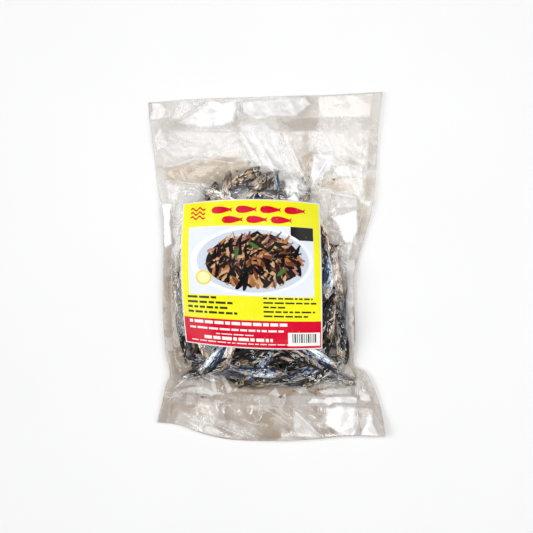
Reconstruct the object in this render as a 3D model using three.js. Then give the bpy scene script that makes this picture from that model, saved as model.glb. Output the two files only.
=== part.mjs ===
// A clear heat-sealed bag of dried anchovies with a paper label on its face.
// The bag lies flat on its back: +X is to the right of the labelled face, +Y runs to its top edge,
// +Z is up, and the origin is the middle of the bag's footprint on the table. Sizes are millimetres.
//
// The fish are laid one by one into a heap on the back sheet. The front sheet is drawn down over
// them and down to the seals round them, and folds run across it from the heap to the seals.

import * as THREE from 'three';

// Outline of the bag, seen from above, each edge as the points its curve goes through
const BAG_WIDTH = 200;
const BAG_LENGTH = 300;
const LEFT_EDGE = [
  [-94, -134], [-90, -118], [-86.5, -102], [-83, -91], [-87, -70], [-89, -35],
  [-88.6, 5], [-88.6, 42], [-93, 66], [-97, 98], [-102, 141],
];
const RIGHT_EDGE = [
  [102, -146], [99, -125], [93, -106], [85, -91], [75, -83], [76.5, -58], [75.3, -28],
  [75.5, -5], [84, 25], [91, 50], [94.5, 85], [96, 118], [100, 150],
];
const BOTTOM_EDGE = [
  [-94, -134], [-74, -136.5], [-52, -144.5], [-28, -149.2], [8, -149.85], [45, -148], [72, -145],
  [102, -146],
];
const TOP_EDGE = [[-102, 141], [-55, 144], [0, 145.5], [50, 147.5], [100, 150]];
const EDGE_STEPS = 200;

// Heap of fish
const HEAP_HALF_WIDTH = 73;
const HEAP_HALF_LENGTH = 96;
const HEAP_CENTRE = [-4, -9];
const HEAP_TOP_SHIFT = -8;
const HEAP_TOP_NARROWING = 0.25;
const HEAP_SQUARENESS = { bottom: 5, top: 2.3 };
const HEAP_THICKNESS = 26;
const HEAP_EDGE_THICKNESS = 10;
const HEAP_CELL = 2;

// One fish
const FISH_LENGTH = [58, 82];
const FISH_DEPTH = 0.135;
const LEAST_DEPTH = 9;
const FISH_FLATNESS = 0.52;
const FISH_BOW = 0.07;
const FISH_STATIONS = 13;
const LOOSE_FISH = 200;
const PLACES_TRIED = 20;
const FISH_SINK = 0.3;

// Fish that lie on top round the label: nose x, y, then tail x, y
const SHOWN_FISH = [
  [-76.5, -4, -74, -48], [-72, 4, -66, 46], [-47, -82, -66, -40], [-75, -38, -68, -86], [-74, -95, -24, -82],
  [-61, -98, -20, -48], [-39, -95, -22, -38], [-29, -84, 32, -64], [-19, -99, 34, -97], [18, -91, -34, -87],
  [69, -84, 58, -26], [51, -68, 60, -12], [61, -24, 57, 14], [51, -22, 49, 30], [77, -99, 24, -92],
  [30, -104, 66, -78], [67, -90, 8, -60], [50, -86, -10, -62], [-50, 58, 4, 71], [-43, 73, -52, 22],
  [-4, 80, -54, 55], [-30, 82, -44, 26], [-58, 67, -6, 46], [0, 76, -22, 24], [30, 78, 0, 34],
  [39, 66, 6, 28], [12, 28, 8, 85], [36, 57, -14, 65],
];

// Spots at the heap's rim that no loose fish reaches
const BARE_SPOTS = [
  { x: -46, y: -106, reach: 15 },
  { x: 22, y: -112, reach: 9 },
];

// Sheets
const SEAM_LIFT = 4;
const SEAM_FADE = 16;
const SEAL_WIDTH = 7;
const SKIRT_THICKNESS = 1;
const SHEET_CLEARANCE = 0.6;
const SHEET_PULL = 0.05;
const SHEET_ROUNDS = 260;
const LABEL_ROUNDS = 80;
const LABEL_HOLD = 9;

// Waves of the lips beyond the heap: height, wavelength along x and y, and start
const LIP_HEIGHT = 1.9;
const LIP_WAVES = [
  { height: 1.2, x: 82, y: Infinity, start: 0.6 },
  { height: 0.7, x: 232, y: 69, start: 0 },
];
const TOP_CURL = { height: 5, from: 110, x: 188, start: 2.2 };
const END_CURL = { height: 4, from: 112, x: 240, start: -0.1 };

// Folds of the front sheet between the heap and the seals: from x, y, to x, y, then height
const FOLD_HALF_WIDTH = 4.4;
const FOLDS = [
  [-24, 120, -2, 82, 3.2], [-14, 120, 17, 66, 3.6], [16, 116, 38, 62, 3.8], [20, 100, 36, 68, 2.6],
  [56, 98, 38, 68, 3.6], [92, 56, 38, 67, 3.2], [72, 64, 38, 67, 2], [60, 90, 84, 84, 2.2],
  [-97, 88, -80, 86, 3], [-80, 86, -60, 93, 3.2], [-60, 93, -22, 88, 2.6], [-88, 74, -54, 70, 2.6],
  [-76, 125, -48, 142, 1.8], [-24, 125, -22, 142, 1.8], [-88, -112, -64, -92, 3.6], [-80, -76, -72, -90, 2.4],
  [-56, -123, -44, -136, 2.6], [-44, -136, -18, -147, 2.6], [-4, -120, 22, -137, 2.8],
  [22, -137, 24, -149, 2.4], [22, -122, 48, -147, 2.8], [56, -118, 66, -145, 2], [78, -96, 78, -146, 3],
  [-82, 62, -81, -62, 2.2], [-86, 30, -83, -58, 1.8], [76, 40, 70, 4, 2.8], [66, 92, 90, 40, 2],
  [-92, 112, -60, 104, 1.6],
];

// Label, its corners seen from above and how far each side bows out
const LABEL_CORNERS = {
  topLeft: [-71.5, 54], topRight: [45.5, 54], bottomRight: [47.5, -70], bottomLeft: [-68.8, -64.5],
};
const LABEL_BOW = { top: 3.4, right: 0.6, bottom: 2.6, left: 3 };
const LABEL_THICKNESS = 0.4;
const LABEL_GAP = 0.4;

// Facets
const FRONT_FACETS = [48, 70];
const LABEL_FACETS = [20, 20];

const clamp01 = (v) => Math.min(1, Math.max(0, v));
const smoothstep = (low, high, v) => {
  const k = clamp01((v - low) / (high - low));
  return k * k * (3 - 2 * k);
};
const mix = (a, b, k) => a + (b - a) * k;
const turn = (share) => 2 * Math.PI * share;

// Park and Miller's generator, so that the heap is the same every time
let seed = 4207;
function draw() {
  seed = (seed * 16807) % 2147483647;
  return seed / 2147483647;
}
const between = (low, high) => mix(low, high, draw());

// Outline

function curveThrough(points) {
  return new THREE.SplineCurve(points.map(([x, y]) => new THREE.Vector2(x, y))).getSpacedPoints(EDGE_STEPS);
}

const edges = {
  left: curveThrough(LEFT_EDGE),
  right: curveThrough(RIGHT_EDGE),
  bottom: curveThrough(BOTTOM_EDGE),
  top: curveThrough(TOP_EDGE),
};

function onEdge(side, share) {
  const at = clamp01(share) * EDGE_STEPS;
  const step = Math.min(EDGE_STEPS - 1, Math.floor(at));
  return edges[side][step].clone().lerp(edges[side][step + 1], at - step);
}

// The point of the bag that is across of its width and up of its height
function onBag(across, up) {
  const [left, right] = [onEdge('left', up), onEdge('right', up)];
  const [bottom, top] = [onEdge('bottom', across), onEdge('top', across)];
  const corners = onEdge('bottom', 0).lerp(onEdge('bottom', 1), across)
    .lerp(onEdge('top', 0).lerp(onEdge('top', 1), across), up);
  return left.lerp(right, across).add(bottom.lerp(top, up)).sub(corners);
}

// Heap

// 0 at the middle of the heap and 1 at its rim
function heapRadius(x, y) {
  const along = (y - HEAP_CENTRE[1]) / HEAP_HALF_LENGTH;
  const narrowing = smoothstep(-0.1, 1, along);
  const halfWidth = HEAP_HALF_WIDTH * (1 - HEAP_TOP_NARROWING * narrowing);
  const across = (x - HEAP_CENTRE[0] - HEAP_TOP_SHIFT * narrowing) / halfWidth;
  const power = mix(HEAP_SQUARENESS.bottom, HEAP_SQUARENESS.top, smoothstep(-0.5, 0.3, along));
  return (Math.abs(across) ** power + Math.abs(along) ** power) ** (1 / power);
}

function heapTarget(x, y) {
  const inner = 1 - Math.min(1, heapRadius(x, y)) ** 5;
  return HEAP_EDGE_THICKNESS + (HEAP_THICKNESS - HEAP_EDGE_THICKNESS) * inner;
}

// How far a lip curls up, from nothing where it starts to its height at the bag's end
function curlHeight({ height, from, x: wavelength, start }, x, toEnd) {
  const share = (1 + Math.sin(turn(x / wavelength) + start)) / 2;
  return height * share * smoothstep(from, BAG_LENGTH / 2, toEnd);
}

// Height of the back sheet, which lifts to the seam at the heap's rim and ripples beyond it
function backSheet(x, y) {
  const radius = heapRadius(x, y);
  const beyond = (radius - 1) * HEAP_HALF_WIDTH;
  const seam = SEAM_LIFT * smoothstep(0.84, 1.06, radius) * Math.exp(-Math.max(0, beyond - 4) / SEAM_FADE);
  const waves = LIP_WAVES.map((wave) => wave.height * Math.sin(turn(x / wave.x + y / wave.y) + wave.start));
  const ripple = waves.reduce((sum, wave) => sum + wave, LIP_HEIGHT);
  const curl = curlHeight(TOP_CURL, x, y) + curlHeight(END_CURL, x, -y);
  return seam + (ripple + curl) * smoothstep(3, 30, beyond);
}

// A grid of heights over the whole bag
const GRID_HALF = [106, 156];
const GRID_SIZE = GRID_HALF.map((half) => Math.round((2 * half) / HEAP_CELL) + 1);
const cellAt = (x, y) => [
  Math.round((x + GRID_HALF[0]) / HEAP_CELL),
  Math.round((y + GRID_HALF[1]) / HEAP_CELL),
];
const placeOf = (i, j) => [i * HEAP_CELL - GRID_HALF[0], j * HEAP_CELL - GRID_HALF[1]];
const indexOf = (i, j) => j * GRID_SIZE[0] + i;

function gridOf(height) {
  const grid = new Float64Array(GRID_SIZE[0] * GRID_SIZE[1]);
  for (let j = 0; j < GRID_SIZE[1]; j++)
    for (let i = 0; i < GRID_SIZE[0]; i++) grid[indexOf(i, j)] = height(...placeOf(i, j));
  return grid;
}

function readGrid(grid, x, y) {
  const u = (x + GRID_HALF[0]) / HEAP_CELL;
  const v = (y + GRID_HALF[1]) / HEAP_CELL;
  const [i, j] = [Math.floor(u), Math.floor(v)];
  const low = mix(grid[indexOf(i, j)], grid[indexOf(i + 1, j)], u - i);
  const high = mix(grid[indexOf(i, j + 1)], grid[indexOf(i + 1, j + 1)], u - i);
  return mix(low, high, v - j);
}

// How full the fish is at a share of its length from the nose
const fullness = (share) => Math.sqrt(Math.sin(Math.PI * (share * 0.93 + 0.05))) * (1 - 0.45 * share ** 3);

// Fish as stations along its spine, from the nose to the tail
function fishSpine(nose, tail, bow, upright) {
  const length = Math.hypot(tail[0] - nose[0], tail[1] - nose[1]);
  const depth = Math.max(length * FISH_DEPTH, LEAST_DEPTH);
  const thick = depth * FISH_FLATNESS;
  const aside = [-(tail[1] - nose[1]) / length, (tail[0] - nose[0]) / length];
  return Array.from({ length: FISH_STATIONS }, (_, k) => {
    const share = k / (FISH_STATIONS - 1);
    const bend = bow * length * (4 * (share - 0.5) ** 2 - 0.33);
    return {
      x: mix(nose[0], tail[0], share) + bend * aside[0],
      y: mix(nose[1], tail[1], share) + bend * aside[1],
      half: (mix(depth, thick, upright) / 2) * fullness(share),
      tall: mix(thick, depth, upright) * fullness(share),
    };
  });
}

// Every cell under a station, with how domed the fish is over it
function eachCell(station, visit) {
  const reach = Math.max(1, Math.ceil(station.half / HEAP_CELL));
  const [ci, cj] = cellAt(station.x, station.y);
  for (let j = cj - reach; j <= cj + reach; j++)
    for (let i = ci - reach; i <= ci + reach; i++) {
      const [x, y] = placeOf(i, j);
      const off = Math.hypot(x - station.x, y - station.y) / Math.max(station.half, HEAP_CELL * 0.7);
      if (off < 1) visit(indexOf(i, j), Math.sqrt(1 - off * off));
    }
}

// Lays a fish on the heap: it rests on what is under it, bends a little over that and sinks in between
function layFish(heap, spine) {
  const under = spine.map((station) => {
    let [sum, weight] = [0, 0];
    eachCell(station, (cell, dome) => {
      sum += heap[cell] * dome;
      weight += dome;
    });
    return sum / weight - FISH_SINK * station.tall;
  });
  const rest = under.slice();
  for (let round = 0; round < 12; round++)
    for (let k = 1; k < rest.length - 1; k++) rest[k] = Math.max(under[k], (rest[k - 1] + rest[k + 1]) / 2);
  spine.forEach((station, k) => eachCell(station, (cell, dome) => {
    heap[cell] = Math.max(heap[cell], rest[k] + station.tall * (0.5 + 0.5 * dome));
  }));
}

function mayLieAt({ x, y }) {
  return heapRadius(x, y) < 1 && BARE_SPOTS.every((spot) => Math.hypot(x - spot.x, y - spot.y) > spot.reach);
}

function tryFish() {
  const length = between(...FISH_LENGTH);
  const x = HEAP_CENTRE[0] + between(-HEAP_HALF_WIDTH, HEAP_HALF_WIDTH);
  const y = HEAP_CENTRE[1] + between(-HEAP_HALF_LENGTH, HEAP_HALF_LENGTH);
  const heading = between(0, 2 * Math.PI);
  const reach = [(Math.cos(heading) * length) / 2, (Math.sin(heading) * length) / 2];
  const bow = between(-FISH_BOW, FISH_BOW);
  const upright = draw() < 0.25 ? between(0.4, 0.9) : between(0, 0.2);
  return fishSpine([x - reach[0], y - reach[1]], [x + reach[0], y + reach[1]], bow, upright);
}

function buildHeap() {
  const heap = gridOf((x, y) => backSheet(x, y) + SHEET_CLEARANCE);
  for (let n = 0; n < LOOSE_FISH; n++) {
    let best = null;
    let room = 0;
    for (let m = 0; m < PLACES_TRIED; m++) {
      const spine = tryFish();
      const free = spine.every(mayLieAt)
        ? spine.reduce((sum, { x, y }) => sum + 1 - readGrid(heap, x, y) / heapTarget(x, y), 0) / spine.length
        : 0;
      if (free > room) [best, room] = [spine, free];
    }
    if (best) layFish(heap, best);
  }
  for (const [noseX, noseY, tailX, tailY] of SHOWN_FISH)
    layFish(heap, fishSpine([noseX, noseY], [tailX, tailY], between(-FISH_BOW, FISH_BOW), 0.1));
  return heap;
}

// Front sheet

// Where the label holds the sheet flat, 1 under it and fading to 0 round it
function underLabel(x, y) {
  const { topLeft, bottomRight } = LABEL_CORNERS;
  const acrossIn = Math.min(x - topLeft[0] + LABEL_BOW.left, bottomRight[0] - x);
  const alongIn = Math.min(topLeft[1] + LABEL_BOW.top - y, y - bottomRight[1]);
  return smoothstep(-LABEL_HOLD, -3, Math.min(acrossIn, alongIn));
}

// The front sheet rests on the heap and is drawn down round it
function drapeSheet(heap) {
  const low = gridOf((x, y) => backSheet(x, y) + SKIRT_THICKNESS);
  const rest = heap.map((top, cell) => Math.max(top + SHEET_CLEARANCE, low[cell]));
  const label = gridOf(underLabel);
  const sheet = rest.slice();
  const row = GRID_SIZE[0];
  const relax = (floor, share) => {
    for (let j = 1; j < GRID_SIZE[1] - 1; j++)
      for (let i = 1; i < row - 1; i++) {
        const cell = indexOf(i, j);
        const around = (sheet[cell - 1] + sheet[cell + 1] + sheet[cell - row] + sheet[cell + row]) / 4;
        const pull = SHEET_PULL * (1 - label[cell]);
        const drawn = (around + pull * low[cell]) / (1 + pull);
        sheet[cell] = mix(sheet[cell], Math.max(floor(cell), drawn), share(cell));
      }
  };
  for (let round = 0; round < SHEET_ROUNDS; round++) relax((cell) => rest[cell], () => 1);
  for (let round = 0; round < LABEL_ROUNDS; round++) relax(() => 0, (cell) => label[cell]);
  return sheet;
}

// How far the folds stand up from the sheet, each highest at its middle
function foldHeight(x, y) {
  return Math.max(0, ...FOLDS.map(([fromX, fromY, toX, toY, height]) => {
    const [dx, dy] = [toX - fromX, toY - fromY];
    const share = clamp01(((x - fromX) * dx + (y - fromY) * dy) / (dx * dx + dy * dy));
    const off = Math.hypot(x - fromX - share * dx, y - fromY - share * dy);
    return height * (0.4 + 0.6 * Math.sin(Math.PI * share)) * Math.max(0, 1 - off / FOLD_HALF_WIDTH);
  }));
}

const sheet = drapeSheet(buildHeap());
const frontSheet = (x, y) => readGrid(sheet, x, y) + foldHeight(x, y) * (1 - underLabel(x, y));

// Bag

// A flat grid of facets, its vertices carried to place(across, up)
function sheetGeometry([columns, rows], place) {
  const plane = new THREE.PlaneGeometry(1, 1, columns, rows);
  const position = plane.getAttribute('position');
  for (let k = 0; k < position.count; k++) {
    const spot = place(position.getX(k) + 0.5, position.getY(k) + 0.5);
    position.setXYZ(k, ...spot);
  }
  return plane;
}

// The places along a plane geometry's rim, once round, in the order in which its corners are met
function rimOf([columns, rows]) {
  const at = (column, rowDown) => rowDown * (columns + 1) + column;
  const rim = [];
  for (let c = 0; c < columns; c++) rim.push(at(c, 0));
  for (let r = 0; r < rows; r++) rim.push(at(columns, r));
  for (let c = columns; c > 0; c--) rim.push(at(c, rows));
  for (let r = rows; r > 0; r--) rim.push(at(0, r));
  return rim;
}

function bagGeometry() {
  const backFacets = FRONT_FACETS.map((n) => n / 2);
  const front = sheetGeometry(FRONT_FACETS, (across, up) => {
    const { x, y } = onBag(across, up);
    const inside = smoothstep(0, SEAL_WIDTH, Math.min(across, 1 - across) * BAG_WIDTH);
    return [x, y, mix(backSheet(x, y) + SKIRT_THICKNESS, frontSheet(x, y), inside)];
  });
  const back = sheetGeometry(backFacets, (across, up) => {
    const { x, y } = onBag(across, up);
    return [x, y, backSheet(x, y)];
  });
  const offset = front.getAttribute('position').count;
  const faces = [...front.index.array];
  const backFaces = back.index.array;
  for (let k = 0; k < backFaces.length; k += 3)
    faces.push(offset + backFaces[k], offset + backFaces[k + 2], offset + backFaces[k + 1]);
  const frontRim = rimOf(FRONT_FACETS);
  const backRim = rimOf(backFacets).map((k) => k + offset);
  backRim.forEach((from, k) => {
    const to = backRim[(k + 1) % backRim.length];
    const [start, middle, end] = [0, 1, 2].map((step) => frontRim[(2 * k + step) % frontRim.length]);
    faces.push(start, middle, from, middle, to, from, middle, end, to);
  });
  const positions = [...front.getAttribute('position').array, ...back.getAttribute('position').array];
  return new THREE.BufferGeometry()
    .setAttribute('position', new THREE.Float32BufferAttribute(positions, 3))
    .setIndex(faces);
}

// Label

function onLabel(across, up) {
  const { topLeft, topRight, bottomRight, bottomLeft } = LABEL_CORNERS;
  const bulge = (share) => 4 * share * (1 - share);
  const x = mix(mix(bottomLeft[0], bottomRight[0], across), mix(topLeft[0], topRight[0], across), up);
  const y = mix(mix(bottomLeft[1], bottomRight[1], across), mix(topLeft[1], topRight[1], across), up);
  const outX = mix(-LABEL_BOW.left, LABEL_BOW.right, across) * bulge(up);
  const outY = mix(-LABEL_BOW.bottom, LABEL_BOW.top, up) * bulge(across);
  return [x + outX, y + outY];
}

function labelGeometry() {
  const slab = new THREE.BoxGeometry(1, 1, 1, ...LABEL_FACETS, 1);
  const position = slab.getAttribute('position');
  for (let k = 0; k < position.count; k++) {
    const [x, y] = onLabel(position.getX(k) + 0.5, position.getY(k) + 0.5);
    const lift = position.getZ(k) > 0 ? LABEL_THICKNESS : 0;
    position.setXYZ(k, x, y, frontSheet(x, y) + LABEL_GAP + lift);
  }
  return slab;
}

// Materials

const clearFilm = new THREE.MeshStandardMaterial({
  color: 0xd9d0c4, roughness: 0.15, metalness: 0, transparent: true, opacity: 0.5,
});
const labelPaper = new THREE.MeshStandardMaterial({ color: 0xf4f01c, roughness: 0.3, metalness: 0 });

// Assembly

function namedMesh(name, geometry, material) {
  const mesh = new THREE.Mesh(geometry, material);
  mesh.name = name;
  return mesh;
}

const pack = new THREE.Group();
pack.add(namedMesh('bag', bagGeometry(), clearFilm));
pack.add(namedMesh('label', labelGeometry(), labelPaper));

export default pack;
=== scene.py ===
# A clear heat-sealed bag of whole dried anchovies with a printed paper label on its face. It lies on
# its back on a pale floor and is seen from straight above, with its top edge up in the picture.
import math

import bmesh
import bpy
import numpy as np
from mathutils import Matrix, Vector


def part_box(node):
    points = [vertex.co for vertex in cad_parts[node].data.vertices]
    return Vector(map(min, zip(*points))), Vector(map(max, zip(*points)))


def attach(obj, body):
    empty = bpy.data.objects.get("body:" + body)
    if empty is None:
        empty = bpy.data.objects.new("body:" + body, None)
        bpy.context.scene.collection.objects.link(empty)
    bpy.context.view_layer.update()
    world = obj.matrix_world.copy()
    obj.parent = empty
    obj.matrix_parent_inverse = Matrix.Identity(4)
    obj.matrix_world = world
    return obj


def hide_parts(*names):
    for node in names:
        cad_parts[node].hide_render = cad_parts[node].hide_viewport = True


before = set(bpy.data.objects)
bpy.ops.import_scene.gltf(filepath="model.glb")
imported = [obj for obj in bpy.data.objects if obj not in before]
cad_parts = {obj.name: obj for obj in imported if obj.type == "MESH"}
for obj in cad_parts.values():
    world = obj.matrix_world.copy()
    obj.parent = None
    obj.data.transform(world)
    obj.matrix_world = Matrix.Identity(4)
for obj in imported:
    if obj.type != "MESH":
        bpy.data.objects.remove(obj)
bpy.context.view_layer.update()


# Bag outline and back sheet.
# The bag is two sheets of clear film laid face to face and welded along four seals. The back sheet
# lies on the table, flat under the fish, and lifts and ripples between them and its loose lips.

# One millimetre, measured on the bag's own width in the frame
corner_to_corner = 204
bag_low, bag_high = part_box("bag")
mm = (bag_high[0] - bag_low[0]) / corner_to_corner

# Points that each edge's curve goes through, seen from above
left_edge = [
    (-94, -134), (-90, -118), (-86.5, -102), (-83, -91), (-87, -70), (-89, -35),
    (-88.6, 5), (-88.6, 42), (-93, 66), (-97, 98), (-102, 141),
]
right_edge = [
    (102, -146), (99, -125), (93, -106), (85, -91), (75, -83), (76.5, -58), (75.3, -28),
    (75.5, -5), (84, 25), (91, 50), (94.5, 85), (96, 118), (100, 150),
]
bottom_edge = [
    (-94, -134), (-74, -136.5), (-52, -144.5), (-28, -149.2), (8, -149.85), (45, -148), (72, -145),
    (102, -146),
]
top_edge = [(-102, 141), (-55, 144), (0, 145.5), (50, 147.5), (100, 150)]
bag_width = 200
bag_length = 300


def smoothstep(low, high, value):
    share = np.clip((value - low) / (high - low), 0, 1)
    return share * share * (3 - 2 * share)


def mix(a, b, share):
    return a + (b - a) * share


def curve_through(points, steps=200):
    """Places at equal distances along the smooth curve through the points"""
    held = np.array([points[0], *points, points[-1]], float)

    def at(t):
        i = np.minimum(t.astype(int), len(points) - 2)
        f = (t - i)[:, None]
        start, end = held[i + 1], held[i + 2]
        leave, arrive = (end - held[i]) / 2, (held[i + 3] - start) / 2
        cubic = (2 * start - 2 * end + leave + arrive) * f**3
        return cubic + (-3 * start + 3 * end - 2 * leave - arrive) * f**2 + leave * f + start

    even = np.linspace(0, len(points) - 1, steps + 1)
    run = np.concatenate([[0], np.cumsum(np.hypot(*np.diff(at(even), axis=0).T))])
    return at(np.interp(np.linspace(0, run[-1], steps + 1), run, even))


edges = [curve_through(edge) for edge in (left_edge, right_edge, bottom_edge, top_edge)]


def on_edge(edge, share):
    at = np.clip(share, 0, 1) * (len(edge) - 1)
    return np.stack([np.interp(at, np.arange(len(edge)), edge[:, k]) for k in (0, 1)], -1)


def on_bag(across, up):
    """The places that are across of the bag's width and up of its height"""
    left, right, bottom, top = edges
    a, u = across[..., None], up[..., None]
    corners = mix(mix(bottom[0], bottom[-1], a), mix(top[0], top[-1], a), u)
    sides = mix(on_edge(left, up), on_edge(right, up), a)
    return sides + mix(on_edge(bottom, across), on_edge(top, across), u) - corners


heap_half_width = 73
heap_half_length = 96
heap_centre = (-4, -9)
heap_top_shift = -8
heap_top_narrowing = 0.25
heap_squareness = (5, 2.3)


def heap_radius(x, y):
    """0 at the middle of the heap of fish and 1 at its rim"""
    along = (y - heap_centre[1]) / heap_half_length
    narrowing = smoothstep(-0.1, 1, along)
    half_width = heap_half_width * (1 - heap_top_narrowing * narrowing)
    across = (x - heap_centre[0] - heap_top_shift * narrowing) / half_width
    power = mix(*heap_squareness, smoothstep(-0.5, 0.3, along))
    return (np.abs(across) ** power + np.abs(along) ** power) ** (1 / power)


# Both sheets meet halfway up the heap's side, in a ridge that falls away from it
ridge_lift = 4
ridge_radii = (0.84, 1.06)
ridge_top = 4
ridge_fade = 16
lip_height = 1.9
lip_reach = (3, 30)
# Height of each wave, its wavelength along x and y, and its start
lip_waves = [(1.2, 82, math.inf, 0.6), (0.7, 232, 69, 0)]
top_curl = (5, 110, 188, 2.2)
end_curl = (4, 112, 240, -0.1)


def curl_height(curl, x, to_end):
    """How far a lip curls up, from nothing where it starts to its height at the bag's end"""
    height, start, wavelength, phase = curl
    share = (1 + np.sin(2 * np.pi * x / wavelength + phase)) / 2
    return height * share * smoothstep(start, bag_length / 2, to_end)


def back_sheet(x, y):
    """The back sheet's height over the table"""
    radius = heap_radius(x, y)
    beyond = (radius - 1) * heap_half_width
    falling = np.exp(-np.maximum(0, beyond - ridge_top) / ridge_fade)
    ridge = ridge_lift * smoothstep(*ridge_radii, radius) * falling
    ripple = lip_height
    for height, wave_x, wave_y, phase in lip_waves:
        ripple = ripple + height * np.sin(2 * np.pi * (x / wave_x + y / wave_y) + phase)
    curl = curl_height(top_curl, x, y) + curl_height(end_curl, x, -y)
    return ridge + (ripple + curl) * smoothstep(*lip_reach, beyond)


# Heap of fish.
# Some two hundred whole anchovies, dried until stiff, lie on their sides at all angles. Each one
# rests on those laid before it, bends over them a little, and the last ones are those that show.

heap_thickness = 26
heap_edge_thickness = 10
heap_shoulder = 5
heap_clearance = 0.6
fish_length = (58, 82)
# Depth as a share of the length, and thickness as a share of the depth
fish_depth = 0.135
fish_flatness = 0.52
least_depth = 9
fish_bow = 0.07
fish_sink = 0.3
# How far a fish is rolled, from flat (0) to upright (1): most lie flat, and some are rolled up
flat_roll = (0, 0.2)
steep_roll = (0.4, 0.9)
steep_share = 0.25
loose_fish = 200
places_tried = 20
bending_rounds = 12
stations = np.linspace(0, 1, 13)

# Fish that lie on top round the label: nose x, y, tail x, y, and the kind of skin
shown_fish = [
    (-76.5, -4, -74, -48, "dark"), (-72, 4, -66, 46, "dark"), (-47, -82, -66, -40, "brown"),
    (-75, -38, -68, -86, "dark"), (-74, -95, -24, -82, "dark"), (-61, -98, -20, -48, "silver"),
    (-39, -95, -22, -38, "pale"), (-29, -84, 32, -64, "dark"), (-19, -99, 34, -97, "dark"),
    (18, -91, -34, -87, "silver"), (69, -84, 58, -26, "dark"), (51, -68, 60, -12, "brown"),
    (62, -31, 58, 20, "pale"), (52, -29, 51, 21, "silver"), (77, -99, 24, -92, "dark"),
    (30, -104, 66, -78, "dark"), (67, -90, 8, -60, "silver"), (50, -86, -10, -62, "brown"),
    (-50, 58, 4, 71, "dark"), (-43, 73, -52, 22, "dark"), (-4, 80, -54, 55, "brown"),
    (-30, 82, -44, 26, "pale"), (-58, 67, -6, 46, "pale"), (0, 76, -22, 24, "dark"),
    (30, 78, 0, 34, "silver"), (39, 66, 6, 28, "pale"), (12, 28, 8, 85, "silver"),
    (36, 57, -14, 65, "brown"),
]
shown_roll = 0.1
# Spots at the heap's rim that no loose fish reaches: x, y and radius
bare_spots = [(-46, -106, 15), (22, -112, 9)]

# Heights are kept in cells over the whole bag
heap_cell = 2
grid_half = (106, 156)


def places_over_bag(cell):
    """Places a cell apart, in rows over the whole bag"""
    counts = [round(2 * half / cell) + 1 for half in grid_half]
    return np.meshgrid(*[np.arange(count) * cell - half for count, half in zip(counts, grid_half)])


# A seeded generator, so that the heap is the same every time
seed = 4207
seed_step = 16807
seed_end = 2147483647


def draw():
    global seed
    seed = seed * seed_step % seed_end
    return seed / seed_end


def between(low, high):
    return mix(low, high, draw())


def read_grid(grid, x, y, cell):
    """Heights between the cells of a grid over the bag"""
    u = (x + grid_half[0]) / cell
    v = (y + grid_half[1]) / cell
    i = np.minimum(np.floor(u).astype(int), grid.shape[1] - 2)
    j = np.minimum(np.floor(v).astype(int), grid.shape[0] - 2)
    low = mix(grid[j, i], grid[j, i + 1], u - i)
    high = mix(grid[j + 1, i], grid[j + 1, i + 1], u - i)
    return mix(low, high, v - j)


def heap_target(x, y):
    """How thick the heap should become: full in the middle, with a round shoulder at the rim"""
    inner = 1 - np.minimum(1, heap_radius(x, y)) ** heap_shoulder
    return heap_edge_thickness + (heap_thickness - heap_edge_thickness) * inner


def fullness(share):
    """How full a fish's body is there, of its full depth and thickness"""
    return np.sqrt(np.sin(np.pi * (share * 0.93 + 0.05))) * (1 - 0.45 * share**3)


class Fish:
    """A fish from nose to tail, bowed sideways, and rolled from lying flat (0) to upright (1)"""

    def __init__(self, nose, tail, bow, upright):
        self.nose = np.array(nose, float)
        self.tail = np.array(tail, float)
        self.bow = bow
        self.upright = upright
        self.kind = None
        self.length = float(np.hypot(*(self.tail - self.nose)))
        self.depth = max(self.length * fish_depth, least_depth)
        self.thick = self.depth * fish_flatness
        way = (self.tail - self.nose) / self.length
        self.aside = np.array([-way[1], way[0]])
        self.places = self.spine(stations)
        self.half = mix(self.depth, self.thick, upright) / 2 * fullness(stations)
        self.tall = mix(self.thick, self.depth, upright) * fullness(stations)

    def spine(self, share):
        bend = self.bow * self.length * (4 * (share - 0.5) ** 2 - 0.33)
        straight = mix(self.nose, self.tail, share[:, None])
        return straight + bend[:, None] * self.aside

    def cells(self, k):
        """The cells under station k, with how domed the fish is over each"""
        reach = max(1, math.ceil(self.half[k] / heap_cell))
        width = max(self.half[k], heap_cell * 0.7)
        x, y = self.places[k]
        ci = math.floor((x + grid_half[0]) / heap_cell + 0.5)
        cj = math.floor((y + grid_half[1]) / heap_cell + 0.5)
        for j in range(cj - reach, cj + reach + 1):
            for i in range(ci - reach, ci + reach + 1):
                off = math.hypot(i * heap_cell - grid_half[0] - x, j * heap_cell - grid_half[1] - y) / width
                if off < 1:
                    yield j, i, math.sqrt(1 - off * off)

    def lie_on(self, heap):
        """Rests the fish on what is under it, and adds it to the heap"""
        under = []
        for k in range(len(stations)):
            total, weight = 0, 0
            for j, i, dome in self.cells(k):
                total += heap[j, i] * dome
                weight += dome
            under.append(total / weight - fish_sink * self.tall[k])
        rest = list(under)
        for _ in range(bending_rounds):
            for k in range(1, len(rest) - 1):
                rest[k] = max(under[k], (rest[k - 1] + rest[k + 1]) / 2)
        for k in range(len(stations)):
            for j, i, dome in self.cells(k):
                heap[j, i] = max(heap[j, i], rest[k] + self.tall[k] * (0.5 + 0.5 * dome))
        self.rest = np.array(rest)


def try_fish():
    """A loose fish somewhere in the heap, with any heading"""
    length = between(*fish_length)
    x = heap_centre[0] + between(-heap_half_width, heap_half_width)
    y = heap_centre[1] + between(-heap_half_length, heap_half_length)
    heading = between(0, 2 * math.pi)
    reach_x, reach_y = math.cos(heading) * length / 2, math.sin(heading) * length / 2
    bow = between(-fish_bow, fish_bow)
    upright = between(*(steep_roll if draw() < steep_share else flat_roll))
    return Fish((x - reach_x, y - reach_y), (x + reach_x, y + reach_y), bow, upright)


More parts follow.
